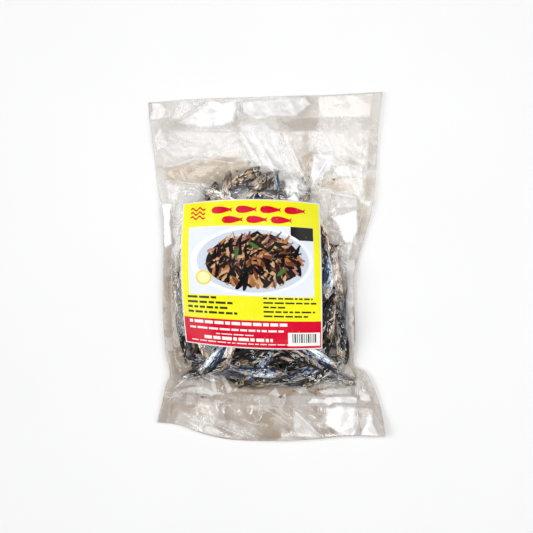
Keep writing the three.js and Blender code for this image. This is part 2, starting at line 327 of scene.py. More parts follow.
heap = back_sheet(*places_over_bag(heap_cell)) + heap_clearance
fishes = []
for _ in range(loose_fish):
    tried = [try_fish() for _ in range(places_tried)]
    x, y = np.array([fish.places for fish in tried]).transpose(2, 0, 1)
    inside = (heap_radius(x, y) < 1).all(axis=1)
    for spot_x, spot_y, reach in bare_spots:
        inside &= (np.hypot(x - spot_x, y - spot_y) > reach).all(axis=1)
    x, y = np.where(inside[:, None], x, 0), np.where(inside[:, None], y, 0)
    room = (1 - read_grid(heap, x, y, heap_cell) / heap_target(x, y)).mean(axis=1)
    room = np.where(inside, room, 0)
    best = int(np.argmax(room))
    if room[best] > 0:
        tried[best].lie_on(heap)
        fishes.append(tried[best])
for nose_x, nose_y, tail_x, tail_y, kind in shown_fish:
    fish = Fish((nose_x, nose_y), (tail_x, tail_y), between(-fish_bow, fish_bow), shown_roll)
    fish.lie_on(heap)
    fish.kind = kind
    fishes.append(fish)


# Shape of one anchovy.
# A dried anchovy is a slim spindle, flattened from side to side: a pointed snout, a gill cover a
# fifth of the way back, a shrunken wrinkled belly, a narrow tail stalk and a forked fin.

# Share of the length, then share of the full depth and share of the full thickness there
fish_outline = [
    (0, 0, 0), (0.012, 0.3, 0.3), (0.045, 0.58, 0.56), (0.1, 0.8, 0.84), (0.16, 0.93, 1.02),
    (0.205, 0.98, 1.08), (0.225, 0.94, 0.88), (0.32, 1, 0.98), (0.42, 0.97, 0.92), (0.55, 0.84, 0.78),
    (0.68, 0.64, 0.56), (0.78, 0.47, 0.4), (0.86, 0.33, 0.24), (0.89, 0.33, 0.14), (0.94, 0.5, 0.07),
    (1, 0.72, 0),
]
outline_share, outline_depth, outline_thick = np.array(fish_outline).T
tail_from = 0.87
tail_fork = 0.06
wrinkle_size = 0.07
wrinkled_from = (0.2, 0.3)
fish_twist = 0.7
most_worn = 0.6
# The kinds of skin, each with the share of loose fish that have it or one before it
kinds = {"dark": 0.4, "silver": 0.7, "brown": 0.9, "pale": 1}


def spread_along(values, passes=5):
    """Evens out a row of heights, as a stiff fish does, with its ends held"""
    for _ in range(passes):
        padded = np.concatenate([[2 * values[0] - values[1]], values, [2 * values[-1] - values[-2]]])
        values = (padded[:-2] + 2 * padded[1:-1] + padded[2:]) / 4
    return values


def fish_frame(fish, along):
    """The spine's place, and how far the dorsal and flank directions reach aside and up"""
    centre = fish.spine(along)
    level = np.interp(along, stations, spread_along(fish.rest) + fish.tall / 2)
    roll = (fish.upright + fish.twist * (along - 0.5)) * math.pi / 2
    dorsal = fish.faces * np.cos(roll), np.sin(roll)
    flank = -fish.faces * np.sin(roll), np.cos(roll)
    return centre, level, dorsal, flank


def fish_surface(fish, along, around):
    """Places on the skin, along from nose to tail and around from the belly over the back"""
    angle = 2 * np.pi * around
    behind = np.clip((along - tail_from) / (1 - tail_from), 0, 1)
    slid = along - tail_fork * behind * (1 - np.abs(np.cos(angle)))
    centre, level, dorsal, flank = fish_frame(fish, slid)
    lumps = np.sin(3 * angle + fish.phase + 9 * along) * np.sin(17 * along + 2 * fish.phase)
    ridges = np.sin(7 * angle + 31 * along * np.cos(fish.phase) + 3 * fish.phase)
    wrinkle = 1 + wrinkle_size * (1 - behind) * smoothstep(*wrinkled_from, along) * (lumps + 0.6 * ridges)
    half_depth = fish.depth / 2 * np.interp(along, outline_share, outline_depth)
    half_thick = fish.thick / 2 * np.interp(along, outline_share, outline_thick)
    rise = -np.cos(angle) * half_depth * wrinkle * (1 - fish.worn * behind)
    swell = np.sin(angle) * half_thick * wrinkle
    aside = rise * dorsal[0] + swell * flank[0]
    x, y = (centre + aside[:, None] * fish.aside).T
    return np.stack([x, y, level + rise * dorsal[1] + swell * flank[1]], -1)


for fish in fishes:
    fish.faces = 1 if draw() < 0.5 else -1
    fish.phase = between(0, 6)
    fish.twist = between(-fish_twist, fish_twist)
    fish.worn = between(0, most_worn)
    fish.tone = draw()
    lot = draw()
    fish.kind = fish.kind or next(kind for kind, share in kinds.items() if lot < share)


# Front sheet.
# The front sheet is drawn down over the fish when the air is taken out. It spans between them, sinks
# into the gaps, is welded flat along the seals, and stands up in folds that run out to them.

sheet_cell = 1
shaped_cell = 0.5
sheet_gap = 0.35
weld_gap = 0.12
sheet_pull = 0.025
sheet_rounds = 260
label_rounds = 260
smoothing_rounds = 2
# How far round the label it stops to hold the sheet flat, and how far it reaches
label_hold = (3, 9)
seal_width = 8
seal_edge = 1.2
# Middle of the weld across each end, its lean along x, and its half width
top_weld = (122, 0.01, 5)
end_weld = (-114, -0.03, 4)

label_corners = {
    "top left": (-71.5, 54), "top right": (45.5, 54), "bottom right": (47.5, -70),
    "bottom left": (-68.8, -64.5),
}
label_bow = {"top": 3.4, "right": 0.6, "bottom": 2.6, "left": 3}

# Folds between the heap and the seals: from x, y, to x, y, then height and half width
folds = [
    (-24, 120, -2, 82, 2.8, 2), (-14, 120, 17, 66, 3.2, 2.4), (16, 116, 38, 62, 3.4, 2.6),
    (20, 100, 36, 68, 2.4, 1.6), (56, 98, 38, 68, 3, 2.4), (92, 56, 38, 67, 2.8, 2),
    (72, 64, 38, 67, 2, 1.6), (60, 90, 84, 84, 2, 2), (-97, 88, -80, 86, 2.6, 1.6),
    (-80, 86, -60, 93, 2.8, 2), (-60, 93, -22, 88, 2.4, 2), (-88, 74, -54, 70, 2.4, 1.6),
    (-76, 125, -48, 142, 1.8, 2), (-24, 125, -22, 142, 1.8, 1.6), (-88, -112, -64, -92, 3, 2),
    (-80, -76, -72, -90, 2.2, 1.6), (-56, -123, -44, -136, 2.4, 1.6), (-44, -136, -18, -147, 2.4, 1.6),
    (-4, -120, 22, -137, 2.6, 2), (22, -137, 24, -149, 2.2, 1.6), (22, -122, 48, -147, 2.6, 2),
    (56, -118, 66, -145, 2, 2), (78, -96, 78, -146, 2.8, 1.8), (-82, 62, -81, -62, 2, 1.6),
    (-86, 30, -83, -58, 1.8, 1.4), (76, 40, 70, 4, 2.6, 2), (66, 92, 90, 40, 2, 2),
    (-92, 112, -60, 104, 1.6, 1.6), (-22, 122, -2, 84, 1.6, 0.7), (-14, 121, 2, 82, 1.4, 0.7),
    (-4, 118, 6, 84, 1.3, 0.6), (4, 116, 18, 74, 1.5, 0.7), (10, 112, 24, 72, 1.5, 0.7),
    (18, 108, 34, 70, 1.7, 0.7), (-18, 108, -8, 86, 1.3, 0.6), (-72, -126, -60, -133, 1.4, 0.7),
    (-60, -133, -34, -138, 1.6, 0.7), (-34, -138, -10, -146, 1.6, 0.7), (-26, -131, 2, -138, 1.5, 0.7),
    (10, -121, 22, -130, 1.6, 0.7), (-74, -38, -76, -70, 1.2, 0.6),
]

# Finer creases, from the heap's rim outwards and at random, drawn by the seed
rim_creases = 120
loose_creases = 90
crease_length = (6, 28)
crease_height = (0.3, 1.2)
crease_width = (0.6, 1.3)
crease_lean = 0.5
rim_share = 0.97
loose_crease_places = ((-96, 96), (-146, 142))
pleat_depth = 4.5
pleat_radii = (0.75, 0.95)
# Crumples: their height, the size of their facets and their seed
pleat_facets = [(1, 7, 12)]
fine_facets = [(0.15, 5.3, 5), (0.04, 2.9, 6)]
broad_facets = [(0.9, 27, 3), (0.4, 11, 8)]
broad_radii = (0.8, 1.12)

fine_x, fine_y = places_over_bag(sheet_cell)


def under_label(x, y):
    """1 where the label holds the sheet flat, fading to 0 round it"""
    left, top = label_corners["top left"]
    right, bottom = label_corners["bottom right"]
    across_in = np.minimum(x - left + label_bow["left"], right - x)
    along_in = np.minimum(top + label_bow["top"] - y, y - bottom)
    return smoothstep(-label_hold[1], -label_hold[0], np.minimum(across_in, along_in))


def crease_rise(x, y, creases):
    """Sharp crests on hollow flanks, each lower towards its ends"""
    height = np.zeros_like(x)
    for start_x, start_y, end_x, end_y, crest, width in creases:
        dx, dy = end_x - start_x, end_y - start_y
        share = np.clip(((x - start_x) * dx + (y - start_y) * dy) / (dx * dx + dy * dy), 0, 1)
        off = np.hypot(x - start_x - share * dx, y - start_y - share * dy)
        rise = crest * (0.3 + 0.7 * np.sin(np.pi * share)) * np.exp(-off / width)
        height = np.maximum(height, rise)
    return height


def drawn_creases():
    """Short creases that stand out from the heap's rim, and others anywhere"""
    made = []
    for number in range(rim_creases + loose_creases):
        heading = between(0, 2 * math.pi)
        length, crest, width = between(*crease_length), between(*crease_height), between(*crease_width)
        if number < rim_creases:
            x = heap_centre[0] + rim_share * heap_half_width * math.cos(heading)
            y = heap_centre[1] + rim_share * heap_half_length * math.sin(heading)
            way = heading + between(-crease_lean, crease_lean)
        else:
            x, y = (between(*places) for places in loose_crease_places)
            way = between(0, math.pi)
        made.append((x, y, x + length * math.cos(way), y + length * math.sin(way), crest, width))
    return made


folds += drawn_creases()


lattice_size = 512
lattice_middle = 200


def crumple(x, y, size, seed):
    """Flat facets with sharp edges, from random heights on a warped lattice of triangles"""
    heights = np.random.default_rng(seed).uniform(-1, 1, (lattice_size, lattice_size))
    warp_x = 0.35 * size * np.sin(2 * np.pi * (y / (2.3 * size)) + seed)
    warp_y = 0.35 * size * np.sin(2 * np.pi * (x / (2.9 * size)) + 2 * seed)
    u = (x + warp_x) / size + lattice_middle
    v = (y + warp_y) / size + lattice_middle
    skewed = u + v / 2
    i, j = np.floor(skewed).astype(int), np.floor(v).astype(int)
    f, g = skewed - i, v - j
    low, high = heights[j, i + 1], heights[j + 1, i]
    near, far = heights[j, i], heights[j + 1, i + 1]
    first = near + f * (low - near) + g * (high - near)
    second = far + (1 - f) * (high - far) + (1 - g) * (low - far)
    return np.where(f + g < 1, first, second)


def crumpled(x, y, facets):
    return sum(height * crumple(x, y, size, seed) for height, size, seed in facets)


skin_places = np.meshgrid(np.linspace(0, 1, 70), np.linspace(0, 1, 16))
skin_along, skin_around = (shares.ravel() for shares in skin_places)


def cells_over(fish):
    """The sheet's cells over places spread on a fish's skin, and the heights of the places"""
    x, y, z = fish_surface(fish, skin_along, skin_around).T
    i = np.round((x + grid_half[0]) / sheet_cell).astype(int)
    j = np.round((y + grid_half[1]) / sheet_cell).astype(int)
    return j, i, z


def drape():
    """The front sheet over the fish: drawn down between them, and smoothed where the label holds it"""
    tops = back_sheet(fine_x, fine_y)
    for fish in fishes:
        j, i, z = cells_over(fish)
        np.maximum.at(tops, (j, i), z)
    low = back_sheet(fine_x, fine_y) + sheet_gap
    rest = np.maximum(tops + sheet_gap, low)
    label = under_label(fine_x, fine_y)
    pull = (sheet_pull * (1 - label))[1:-1, 1:-1]
    held = label[1:-1, 1:-1]
    sheet = rest.copy()

    def around_each():
        return (sheet[1:-1, :-2] + sheet[1:-1, 2:] + sheet[:-2, 1:-1] + sheet[2:, 1:-1]) / 4

    for _ in range(sheet_rounds):
        drawn = (around_each() + pull * low[1:-1, 1:-1]) / (1 + pull)
        sheet[1:-1, 1:-1] = np.maximum(rest[1:-1, 1:-1], drawn)
    for _ in range(label_rounds):
        sheet[1:-1, 1:-1] = mix(sheet[1:-1, 1:-1], around_each(), held)
    for _ in range(smoothing_rounds):
        sheet[1:-1, 1:-1] = around_each()
    return sheet


def welded(x, y, from_side):
    """1 in the seals, where both sheets are one, and 0 between them"""
    bands = [smoothstep(-seal_edge, 0, seal_width - from_side)]
    for middle, lean, half_width in (top_weld, end_weld):
        bands.append(smoothstep(-seal_edge, 0, half_width - np.abs(y - middle - lean * x)))
    return np.maximum.reduce(bands)


draped = drape()


def shape_front(x, y):
    """The front sheet's height, with its folds and crumples, and pleats where it leaves the heap"""
    loose = 1 - under_label(x, y)
    radius = heap_radius(x, y)
    from_x, from_y = x - heap_centre[0], y - heap_centre[1]
    pleats = loose * smoothstep(*pleat_radii, radius) * np.abs(crumpled(x, y, pleat_facets))
    inward = pleat_depth * pleats / np.maximum(1, np.hypot(from_x, from_y))
    level = read_grid(draped, x - inward * from_x, y - inward * from_y, sheet_cell)
    off_heap = smoothstep(*broad_radii, radius) * crumpled(x, y, broad_facets)
    rise = crease_rise(x, y, folds) + crumpled(x, y, fine_facets) + off_heap
    return np.maximum(level + loose * rise, back_sheet(x, y) + weld_gap)


shaped = shape_front(*places_over_bag(shaped_cell))


def front_sheet(x, y):
    return read_grid(shaped, x, y, shaped_cell)


# Fish bodies.
# Each anchovy is one closed body with its fork. Those that show through the film, above or below,
# have their wrinkles and gill covers; the buried ones are plainer. Their skins differ by kind.

shown_detail = (34, 16)
buried_detail = (10, 6)
seen_cells = 40
under_film = 0.25
above_back = 0.3
# Least thickness of a body pressed between the sheets, and how fast it grows from its closed ends
pinch = 0.3
pinch_growth = 20
merge_gap = 0.01


def seen_cell_counts(side):
    """How many cells show each fish from above (1) or from below (-1)"""
    best = np.full(fine_x.shape, -np.inf)
    owner = np.full(fine_x.shape, -1)
    for number, fish in enumerate(fishes):
        j, i, z = cells_over(fish)
        order = np.argsort(side * z)
        i, j, z = i[order], j[order], side * z[order]
        nearer = z > best[j, i]
        best[j[nearer], i[nearer]] = z[nearer]
        owner[j[nearer], i[nearer]] = number
    if side > 0:
        owner = np.where(under_label(fine_x, fine_y) > 0.99, -1, owner)
    return np.bincount(owner[owner >= 0], minlength=len(fishes))


seen = np.maximum(seen_cell_counts(1), seen_cell_counts(-1)) >= seen_cells


def held_in(x, y, z, flank_up):
    """Heights kept between the two sheets, with the upper side of a body above its lower side"""
    low = back_sheet(x, y) + above_back + pinch * (1 + flank_up) / 2
    high = front_sheet(x, y) - under_film - pinch * (1 - flank_up) / 2
    return np.maximum(np.minimum(z, high), low)


fish_marks = ("along", "height", "tone")


def add_fish(bm, fish, detail):
    """Rolls a grid up into one closed fish, marked with how far along and how high on it a place is"""
    made = bmesh.ops.create_grid(bm, x_segments=detail[0], y_segments=detail[1], size=0.5)["verts"]
    even, around = np.array([(vert.co.x + 0.5, vert.co.y + 0.5) for vert in made]).T
    along = mix(even, (1 - np.cos(np.pi * even)) / 2, 0.5)
    x, y, z = fish_surface(fish, along, around).T
    # Both sides meet at the snout and along the end of the tail fin
    parted = np.minimum(1, pinch_growth * along * (1 - along))
    z = held_in(x, y, z, np.sin(2 * np.pi * around) * parted)
    marks = [bm.verts.layers.float[name] for name in fish_marks]
    height = (1 - np.cos(2 * np.pi * around)) / 2
    for vert, place, *values in zip(made, np.stack([x, y, z], -1) * mm, along, height):
        vert.co = place
        for mark, value in zip(marks, (*values, fish.tone)):
            vert[mark] = value


def make_piece(bm, name, material):
    """A smooth piece of the pack, which rides on its one body"""
    for face in bm.faces:
        face.smooth = True
    mesh = bpy.data.meshes.new(name)
    bm.to_mesh(mesh)
    bm.free()
    mesh.materials.append(material)
    piece = bpy.data.objects.new(name, mesh)
    bpy.context.scene.collection.objects.link(piece)
    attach(piece, "root")
    return piece


def finish_mesh(bm, name, material):
    """Closes the seams, turns the faces outwards and makes the piece"""
    bmesh.ops.remove_doubles(bm, verts=bm.verts, dist=merge_gap * mm)
    bmesh.ops.recalc_face_normals(bm, faces=bm.faces)
    return make_piece(bm, name, material)


def node(tree, kind, inputs=None, **settings):
    """A shader node with its settings, and its inputs given as values or as other nodes' outputs"""
    made = tree.nodes.new("ShaderNode" + kind)
    for name, value in settings.items():
        setattr(made, name, value)
    for name, value in (inputs or {}).items():
        if isinstance(value, bpy.types.NodeSocket):
            tree.links.new(value, made.inputs[name])
        else:
            made.inputs[name].default_value = value
    return made


def maths(tree, operation, a, b=0.0, clamp=False):
    return node(tree, "Math", {0: a, 1: b}, operation=operation, use_clamp=clamp).outputs[0]


def times(tree, a, b, clamp=False):
    return maths(tree, "MULTIPLY", a, b, clamp)


def plus(tree, a, b, clamp=False):
    return maths(tree, "ADD", a, b, clamp)


def blend(tree, share, a, b, kind="MIX"):
    """Two colours mixed by a share"""
    return node(tree, "Mix", {0: share, 6: a, 7: b}, data_type="RGBA", blend_type=kind).outputs[2]


def between_shares(tree, value, low, high):
    """0 up to low and 1 from high"""
    inputs = {"Value": value, "From Min": low, "From Max": high}
    return node(tree, "MapRange", inputs, interpolation_type="SMOOTHSTEP").outputs[0]


def mark(tree, name):
    return node(tree, "Attribute", attribute_name=name).outputs["Fac"]


def speckle(tree, scale, detail=3.0, vector=None):
    """Noise from 0 to 1 over the piece, or over the vector given"""
    vector = vector or node(tree, "TexCoord").outputs["Object"]
    return node(tree, "TexNoise", {"Vector": vector, "Scale": scale, "Detail": detail}).outputs["Fac"]


def new_group(name, inputs, outputs):
    """An empty node group, and its input and output nodes"""
    group = bpy.data.node_groups.new(name, "ShaderNodeTree")
    for way, sockets in (("INPUT", inputs), ("OUTPUT", outputs)):
        for socket, kind in sockets.items():
            group.interface.new_socket(socket, in_out=way, socket_type="NodeSocket" + kind)
    return group, group.nodes.new("NodeGroupInput"), group.nodes.new("NodeGroupOutput")


def new_material(name, **values):
    """A material whose main shader has the given values, with its tree and that shader"""
    material = bpy.data.materials.new(name)
    material.use_nodes = True
    shader = material.node_tree.nodes["Principled BSDF"]
    for socket, value in values.items():
        shader.inputs[socket.replace("_", " ")].default_value = value
    return material, material.node_tree, shader


bare_flesh = (0.03, 0.013, 0.009, 1)
scale_flake = (0.85, 0.86, 0.86, 1)
head_shade = (0.05, 0.032, 0.022, 1)
cheek_gold = (0.4, 0.3, 0.17, 1)
gill_slit = (0.012, 0.009, 0.008, 1)
fin_brown = (0.2, 0.15, 0.1, 1)
# The cheek's middle along and up the head, and its half length and half height
cheek_place = (0.165, 0.4)
cheek_size = (0.06, 0.3)


def build_dried_skin():
    """Dark back, silvery flank and pale belly, dried in streaks, with patches where skin is lost"""
    colours = {"Back": "Color", "Flank": "Color", "Belly": "Color", "Shine": "Float"}
    made = {"Color": "Color", "Roughness": "Float", "Metallic": "Float", "Height": "Float"}
    group, given, result = new_group("Dried skin", colours, made)
    along, height, tone = (mark(group, name) for name in fish_marks)

    def pattern(scale_along, scale_up, detail):
        """Noise drawn out along the fish, other for each tone"""
        place = node(group, "CombineXYZ", {
            0: times(group, along, scale_along), 1: times(group, height, scale_up),
            2: times(group, tone, 90.0),
        }).outputs[0]
        return speckle(group, 1.0, detail, place)

    def spread(value, share):
        return times(group, maths(group, "SUBTRACT", value, 0.5), share)

    def painted(skin, share, where, colour):
        return blend(group, times(group, where, share), skin, colour)

    streaks = pattern(9.0, 26.0, 3.0)
    patches = pattern(13.0, 6.0, 4.0)
    spots = speckle(group, 520.0, 3.0)
    lost = speckle(group, 190.0, 4.0)

    # Belly, flank and back meet along uneven lines
    uneven = plus(group, height, plus(group, spread(patches, 1.5), spread(streaks, 0.5)))
    on_flank = between_shares(group, uneven, 0.2, 0.25)
    on_back = between_shares(group, uneven, 0.44, 0.5)
    skin = blend(group, on_flank, given.outputs["Belly"], given.outputs["Flank"])
    skin = blend(group, on_back, skin, given.outputs["Back"])

    # Skin is lost in places, and loose scales cling in others
    bare = times(group, between_shares(group, lost, 0.58, 0.64), 0.7)
    skin = blend(group, bare, skin, bare_flesh)
    flakes = between_shares(group, pattern(15.0, 8.0, 1.0), 0.6, 0.64)
    flakes = times(group, flakes, between_shares(group, height, 0.95, 0.6))
    skin = painted(skin, 0.85, flakes, scale_flake)
    skin = painted(skin, 0.6, between_shares(group, along, 0.2, 0.12), head_shade)

    # A golden cheek, with the dark slit of the gill round it
    offsets = []
    for value, middle, size in zip((along, height), cheek_place, cheek_size):
        offset = maths(group, "DIVIDE", maths(group, "SUBTRACT", value, middle), size)
        offsets.append(times(group, offset, offset))
    reach = plus(group, *offsets)
    reach = plus(group, reach, plus(group, spread(spots, 1.6), spread(patches, 2.4)))
    skin = painted(skin, 0.6, between_shares(group, reach, 1.0, 0.3), cheek_gold)
    slit_start = between_shares(group, reach, 0.8, 1.1)
    slit_end = between_shares(group, reach, 1.7, 1.3)
    skin = painted(skin, 0.85, times(group, slit_start, slit_end), gill_slit)
    skin = painted(skin, 0.7, between_shares(group, along, 0.85, 0.92), fin_brown)

    # Each fish is lighter or darker, with dry streaks and spots
    light = plus(group, times(group, tone, 0.7), 0.8)
    lines = node(group, "MapRange", {"Value": streaks, 1: 0.38, 2: 0.62, 3: 0.2, 4: 1.75}).outputs[0]
    light = times(group, times(group, light, lines), plus(group, spots, 0.5))
    shade = node(group, "CombineColor", {0: light, 1: light, 2: light}).outputs[0]
    rough = node(group, "MapRange", {"Value": streaks, "To Min": 0.18, "To Max": 0.5}).outputs[0]
    shiny = maths(group, "SUBTRACT", 1.0, maths(group, "MAXIMUM", on_back, bare))
    relief = plus(group, streaks, times(group, spots, 0.5))
    group.links.new(blend(group, 1.0, skin, shade, "MULTIPLY"), result.inputs["Color"])
    group.links.new(rough, result.inputs["Roughness"])
    group.links.new(times(group, shiny, given.outputs["Shine"]), result.inputs["Metallic"])
    group.links.new(relief, result.inputs["Height"])
    return group


dried_skin = build_dried_skin()
skin_bump = 0.0006

# Back, flank and belly colours, and how much the flank shines
skins = {
    "dark": ((0.001, 0.001, 0.002), (0.005, 0.008, 0.024), (0.66, 0.6, 0.5), 0.2),
    "silver": ((0.01, 0.028, 0.08), (0.52, 0.67, 0.94), (0.95, 0.93, 0.88), 0.3),
    "brown": ((0.004, 0.003, 0.002), (0.1, 0.03, 0.018), (0.74, 0.6, 0.44), 0.05),
    "pale": ((0.5, 0.41, 0.36), (0.84, 0.76, 0.7), (0.95, 0.93, 0.9), 0.1),
}


def skin_material(name, back, flank, belly, shine):
    """Dried skin in the colours of one kind of fish"""
    material, tree, shader = new_material(name, Specular_IOR_Level=0.22)
    skin = tree.nodes.new("ShaderNodeGroup")
    skin.node_tree = dried_skin
    for socket, colour in (("Back", back), ("Flank", flank), ("Belly", belly)):
        skin.inputs[socket].default_value = (*colour, 1)
    skin.inputs["Shine"].default_value = shine
    for output, socket in (("Color", "Base Color"), ("Roughness", "Roughness"), ("Metallic", "Metallic")):
        tree.links.new(skin.outputs[output], shader.inputs[socket])
    bump = node(tree, "Bump", {"Strength": 0.7, "Distance": skin_bump, "Height": skin.outputs["Height"]})
    tree.links.new(bump.outputs[0], shader.inputs["Normal"])
    return material


def fish_piece(name, kept, detail, material):
    """The bodies of several fish as one piece"""
    bm = bmesh.new()
    for mark_name in fish_marks:
        bm.verts.layers.float.new(mark_name)
    for fish in kept:
        add_fish(bm, fish, detail)
    return finish_mesh(bm, name, material)


shown = [fish for fish, shows in zip(fishes, seen) if shows]
buried = [fish for fish, shows in zip(fishes, seen) if not shows]
for kind, colours in skins.items():
    material = skin_material(f"{kind} skin", *colours)
    fish_piece(f"{kind}_fish", [fish for fish in shown if fish.kind == kind], shown_detail, material)
fish_piece("buried_fish", buried, buried_detail, bpy.data.materials["dark skin"])


# Eyes.
# The eyes have dried into shallow black buttons, each with a pale ring round it.

eye_share = 0.085
eye_size = 0.22
eye_bulge = 0.45
eye_rise = 0.3
eye_proud = 0.2
eye_sides = (0.25, 0.75)
eye_cells = (14, 8)
eye_marks = ("ring", "tone")
# Steps ahead and up the head that give the way the eye faces
step_ahead = 0.02
step_up = 0.05


def add_eye(bm, fish, around):
    """Rolls a grid up into a flattened ball set into the side of the head"""
    shares = np.array([eye_share, eye_share + step_ahead, eye_share])
    centre, ahead, above = fish_surface(fish, shares, np.array([around, around, around + step_up]))
    along_way = Vector(ahead - centre).normalized()
    out_way = along_way.cross(Vector(above - centre)).normalized()
    turn = np.array([along_way, out_way.cross(along_way), out_way])
    made = bmesh.ops.create_grid(bm, x_segments=eye_cells[0], y_segments=eye_cells[1], size=0.5)["verts"]
    angle, height = np.array([(2 * math.pi * vert.co.x, math.pi * vert.co.y) for vert in made]).T
    radius = np.cos(height)
    ball = np.stack([radius * np.cos(angle), radius * np.sin(angle), eye_bulge * np.sin(height)], -1)
    ball[:, 2] += eye_rise
    x, y, z = (centre + fish.depth * eye_size * ball @ turn).T
    side = 1 if around < 0.5 else -1
    z = held_in(x, y, z, side) + eye_proud * side
    ring, tone = (bm.verts.layers.float[name] for name in eye_marks)
    for vert, place, out in zip(made, np.stack([x, y, z], -1) * mm, radius):
        vert.co = place
        vert[ring] = out
        vert[tone] = fish.tone


eye_black = (0.006, 0.006, 0.007, 1)
eye_pale = (0.75, 0.7, 0.58, 1)
eye_edge = (0.05, 0.045, 0.04, 1)
eye_material, tree, shader = new_material("dried eye", Roughness=0.16, Coat_Weight=0.3)
from_middle, fish_tone = (mark(tree, name) for name in eye_marks)
past_pupil = between_shares(tree, from_middle, 0.54, 0.6)
not_dark = between_shares(tree, fish_tone, 0.15, 0.4)
at_edge = between_shares(tree, from_middle, 0.86, 0.96)
clouded = between_shares(tree, speckle(tree, 700.0), 0.4, 0.6)
eye_colour = blend(tree, times(tree, past_pupil, not_dark), eye_black, eye_pale)
eye_colour = blend(tree, times(tree, clouded, 0.35), eye_colour, eye_black)
eye_colour = blend(tree, at_edge, eye_colour, eye_edge)
tree.links.new(eye_colour, shader.inputs["Base Color"])

bm = bmesh.new()
for mark_name in eye_marks:
    bm.verts.layers.float.new(mark_name)
for fish in shown:
    for around in eye_sides:
        add_eye(bm, fish, around)
finish_mesh(bm, "eyes", eye_material)


# Crumbs and scales.
# Scales, and bits of skin and fin that broke off as the fish were packed, have worked their way to
# the rim of the heap, where the film holds them down.

# Bits at known places: x, y, half length, half width, turn, and how pale each is
placed_bits = [
    (58, 75, 0.9, 0.7, 20, 0.1), (57, 72, 1.1, 0.8, 60, 1), (43, -107, 3.4, 1.9, 70, 0.6),
    (68, -93, 1.5, 1.1, 30, 0.35), (-55, -112, 1.5, 0.7, 5, 0.15), (-45, -112.4, 1.3, 0.6, 0, 0.15),
    (-33, -113.6, 1.4, 0.8, 8, 0.2), (-68, -110.4, 6, 0.35, -6, 0.25), (-40, -113, 11, 0.3, -4, 0.25),
    (58.5, 10, 4.2, 2.4, 50, 1), (62, 13, 2.2, 0.9, 80, 0.5), (59.5, 17.5, 1.6, 1.1, 30, 0),
    (55.5, 7, 2, 0.9, 120, 0), (63.5, 8, 1.5, 0.8, 60, 0.05), (61.5, 16, 2.2, 1.3, 70, 1),
    (57, 14, 1.8, 0.9, 20, 0.6), (-53, 59, 2.2, 1.5, 30, 0.45), (-33, 80, 2.4, 1.1, 60, 0.8),
    (-17, -91, 2.2, 1.6, 15, 0.8), (29, 68, 2.6, 1.4, 70, 1), (24, 63, 1.6, 1.2, 20, 1),
    (34, 60, 1.2, 0.9, 50, 0.1),
]
drawn_bits = 170
bit_radii = (0.55, 1.1)
bit_length = (0.5, 1.6)
bit_width = (0.4, 0.9)
bit_thickness = 0.8
least_thickness = 0.02
bit_clearance = 0.1
bit_raggedness = 0.25

bits = list(placed_bits)
for _ in range(drawn_bits):
    heading, radius = between(0, 2 * math.pi), between(*bit_radii)
    x = heap_centre[0] + heap_half_width * radius * math.cos(heading)
    y = heap_centre[1] + heap_half_length * radius * math.sin(heading)
    half_long = between(*bit_length)
    bits.append((x, y, half_long, half_long * between(*bit_width), between(0, 180), draw()))


def add_bit(bm, x, y, half_long, half_wide, turn, paleness):
    """One flat bit right under the front sheet, where there is room for it beside the label"""
    place = np.array([[x], [y]])
    gap = front_sheet(*place) - back_sheet(*place)
    if gap[0] < 3 * bit_clearance or under_label(*place)[0] > 0.5:
        return
    made = bmesh.ops.create_icosphere(bm, subdivisions=2, radius=1)["verts"]
    u, v, w = np.array([vert.co for vert in made]).T
    ragged = 1 + bit_raggedness * np.sin(5 * u + 7 * v + 3 * turn)
    c, s = math.cos(math.radians(turn)), math.sin(math.radians(turn))
    across = x + ragged * (half_long * u * c - half_wide * v * s)
    up = y + ragged * (half_long * u * s + half_wide * v * c)
    high, low = front_sheet(across, up) - bit_clearance, back_sheet(across, up)
    thickness = np.clip(high - low - bit_clearance, least_thickness, bit_thickness)
    tone = bm.verts.layers.float["tone"]
    for vert, place in zip(made, np.stack([across, up, high - thickness * (1 - w) / 2], -1) * mm):
        vert.co = place
        vert[tone] = paleness


dark_crumb = (0.02, 0.012, 0.01, 1)
red_skin = (0.28, 0.11, 0.04, 1)
dry_fin = (0.5, 0.38, 0.24, 1)
clear_scale = (0.84, 0.84, 0.82, 1)
bit_stain = (0.12, 0.08, 0.05, 1)
bit_material, tree, shader = new_material("dried bits", Roughness=0.45)
shades = node(tree, "ValToRGB", {"Fac": mark(tree, "tone")})
shades.color_ramp.elements[0].color = dark_crumb
shades.color_ramp.elements[1].color = clear_scale
for share, colour in ((0.3, red_skin), (0.6, dry_fin)):
    shades.color_ramp.elements.new(share).color = colour
stained = times(tree, speckle(tree, 700.0), 0.5)
bit_colour = blend(tree, stained, shades.outputs[0], bit_stain)
tree.links.new(bit_colour, shader.inputs["Base Color"])

bm = bmesh.new()
bm.verts.layers.float.new("tone")
for bit in bits:
    add_bit(bm, *bit)
finish_mesh(bm, "bits_and_scales", bit_material)


# Clear film.
# Both sheets are clear nylon film a tenth of a millimetre thick, glossy and a little milky where it
# is creased. White panes, facets and spots on it are painted reflections and painted glare, and brown
# panes and its darker lower end are painted shade. The front sheet is drawn tight over the fish; the
# seals are pressed flat by hot bars.

front_cells = (224, 330)
back_cells = (112, 165)
rim_gap = 0.08
on_rim = 1e-6
# A crease is where the sheet stands over the places a step away by this much or more
crease_step = 0.8
crease_least = 0.04
crease_reach = 0.35
loose_radii = (0.95, 1.06)
# Spots of painted glare, where the film is hazed white and mirrors more light: x, y, radius and how much
glare_spots = [
    (24, 66, 9, 2.6), (-46, -100, 11, 1.4), (48, 84, 12, 0.8), (-60, 78, 14, 0.6), (68, 38, 13, 1.2),
    (68, 0, 6, 1), (-22, 63, 8, 1.4), (2, 60, 6, 0.8), (54, 6, 5, 0.6),
]
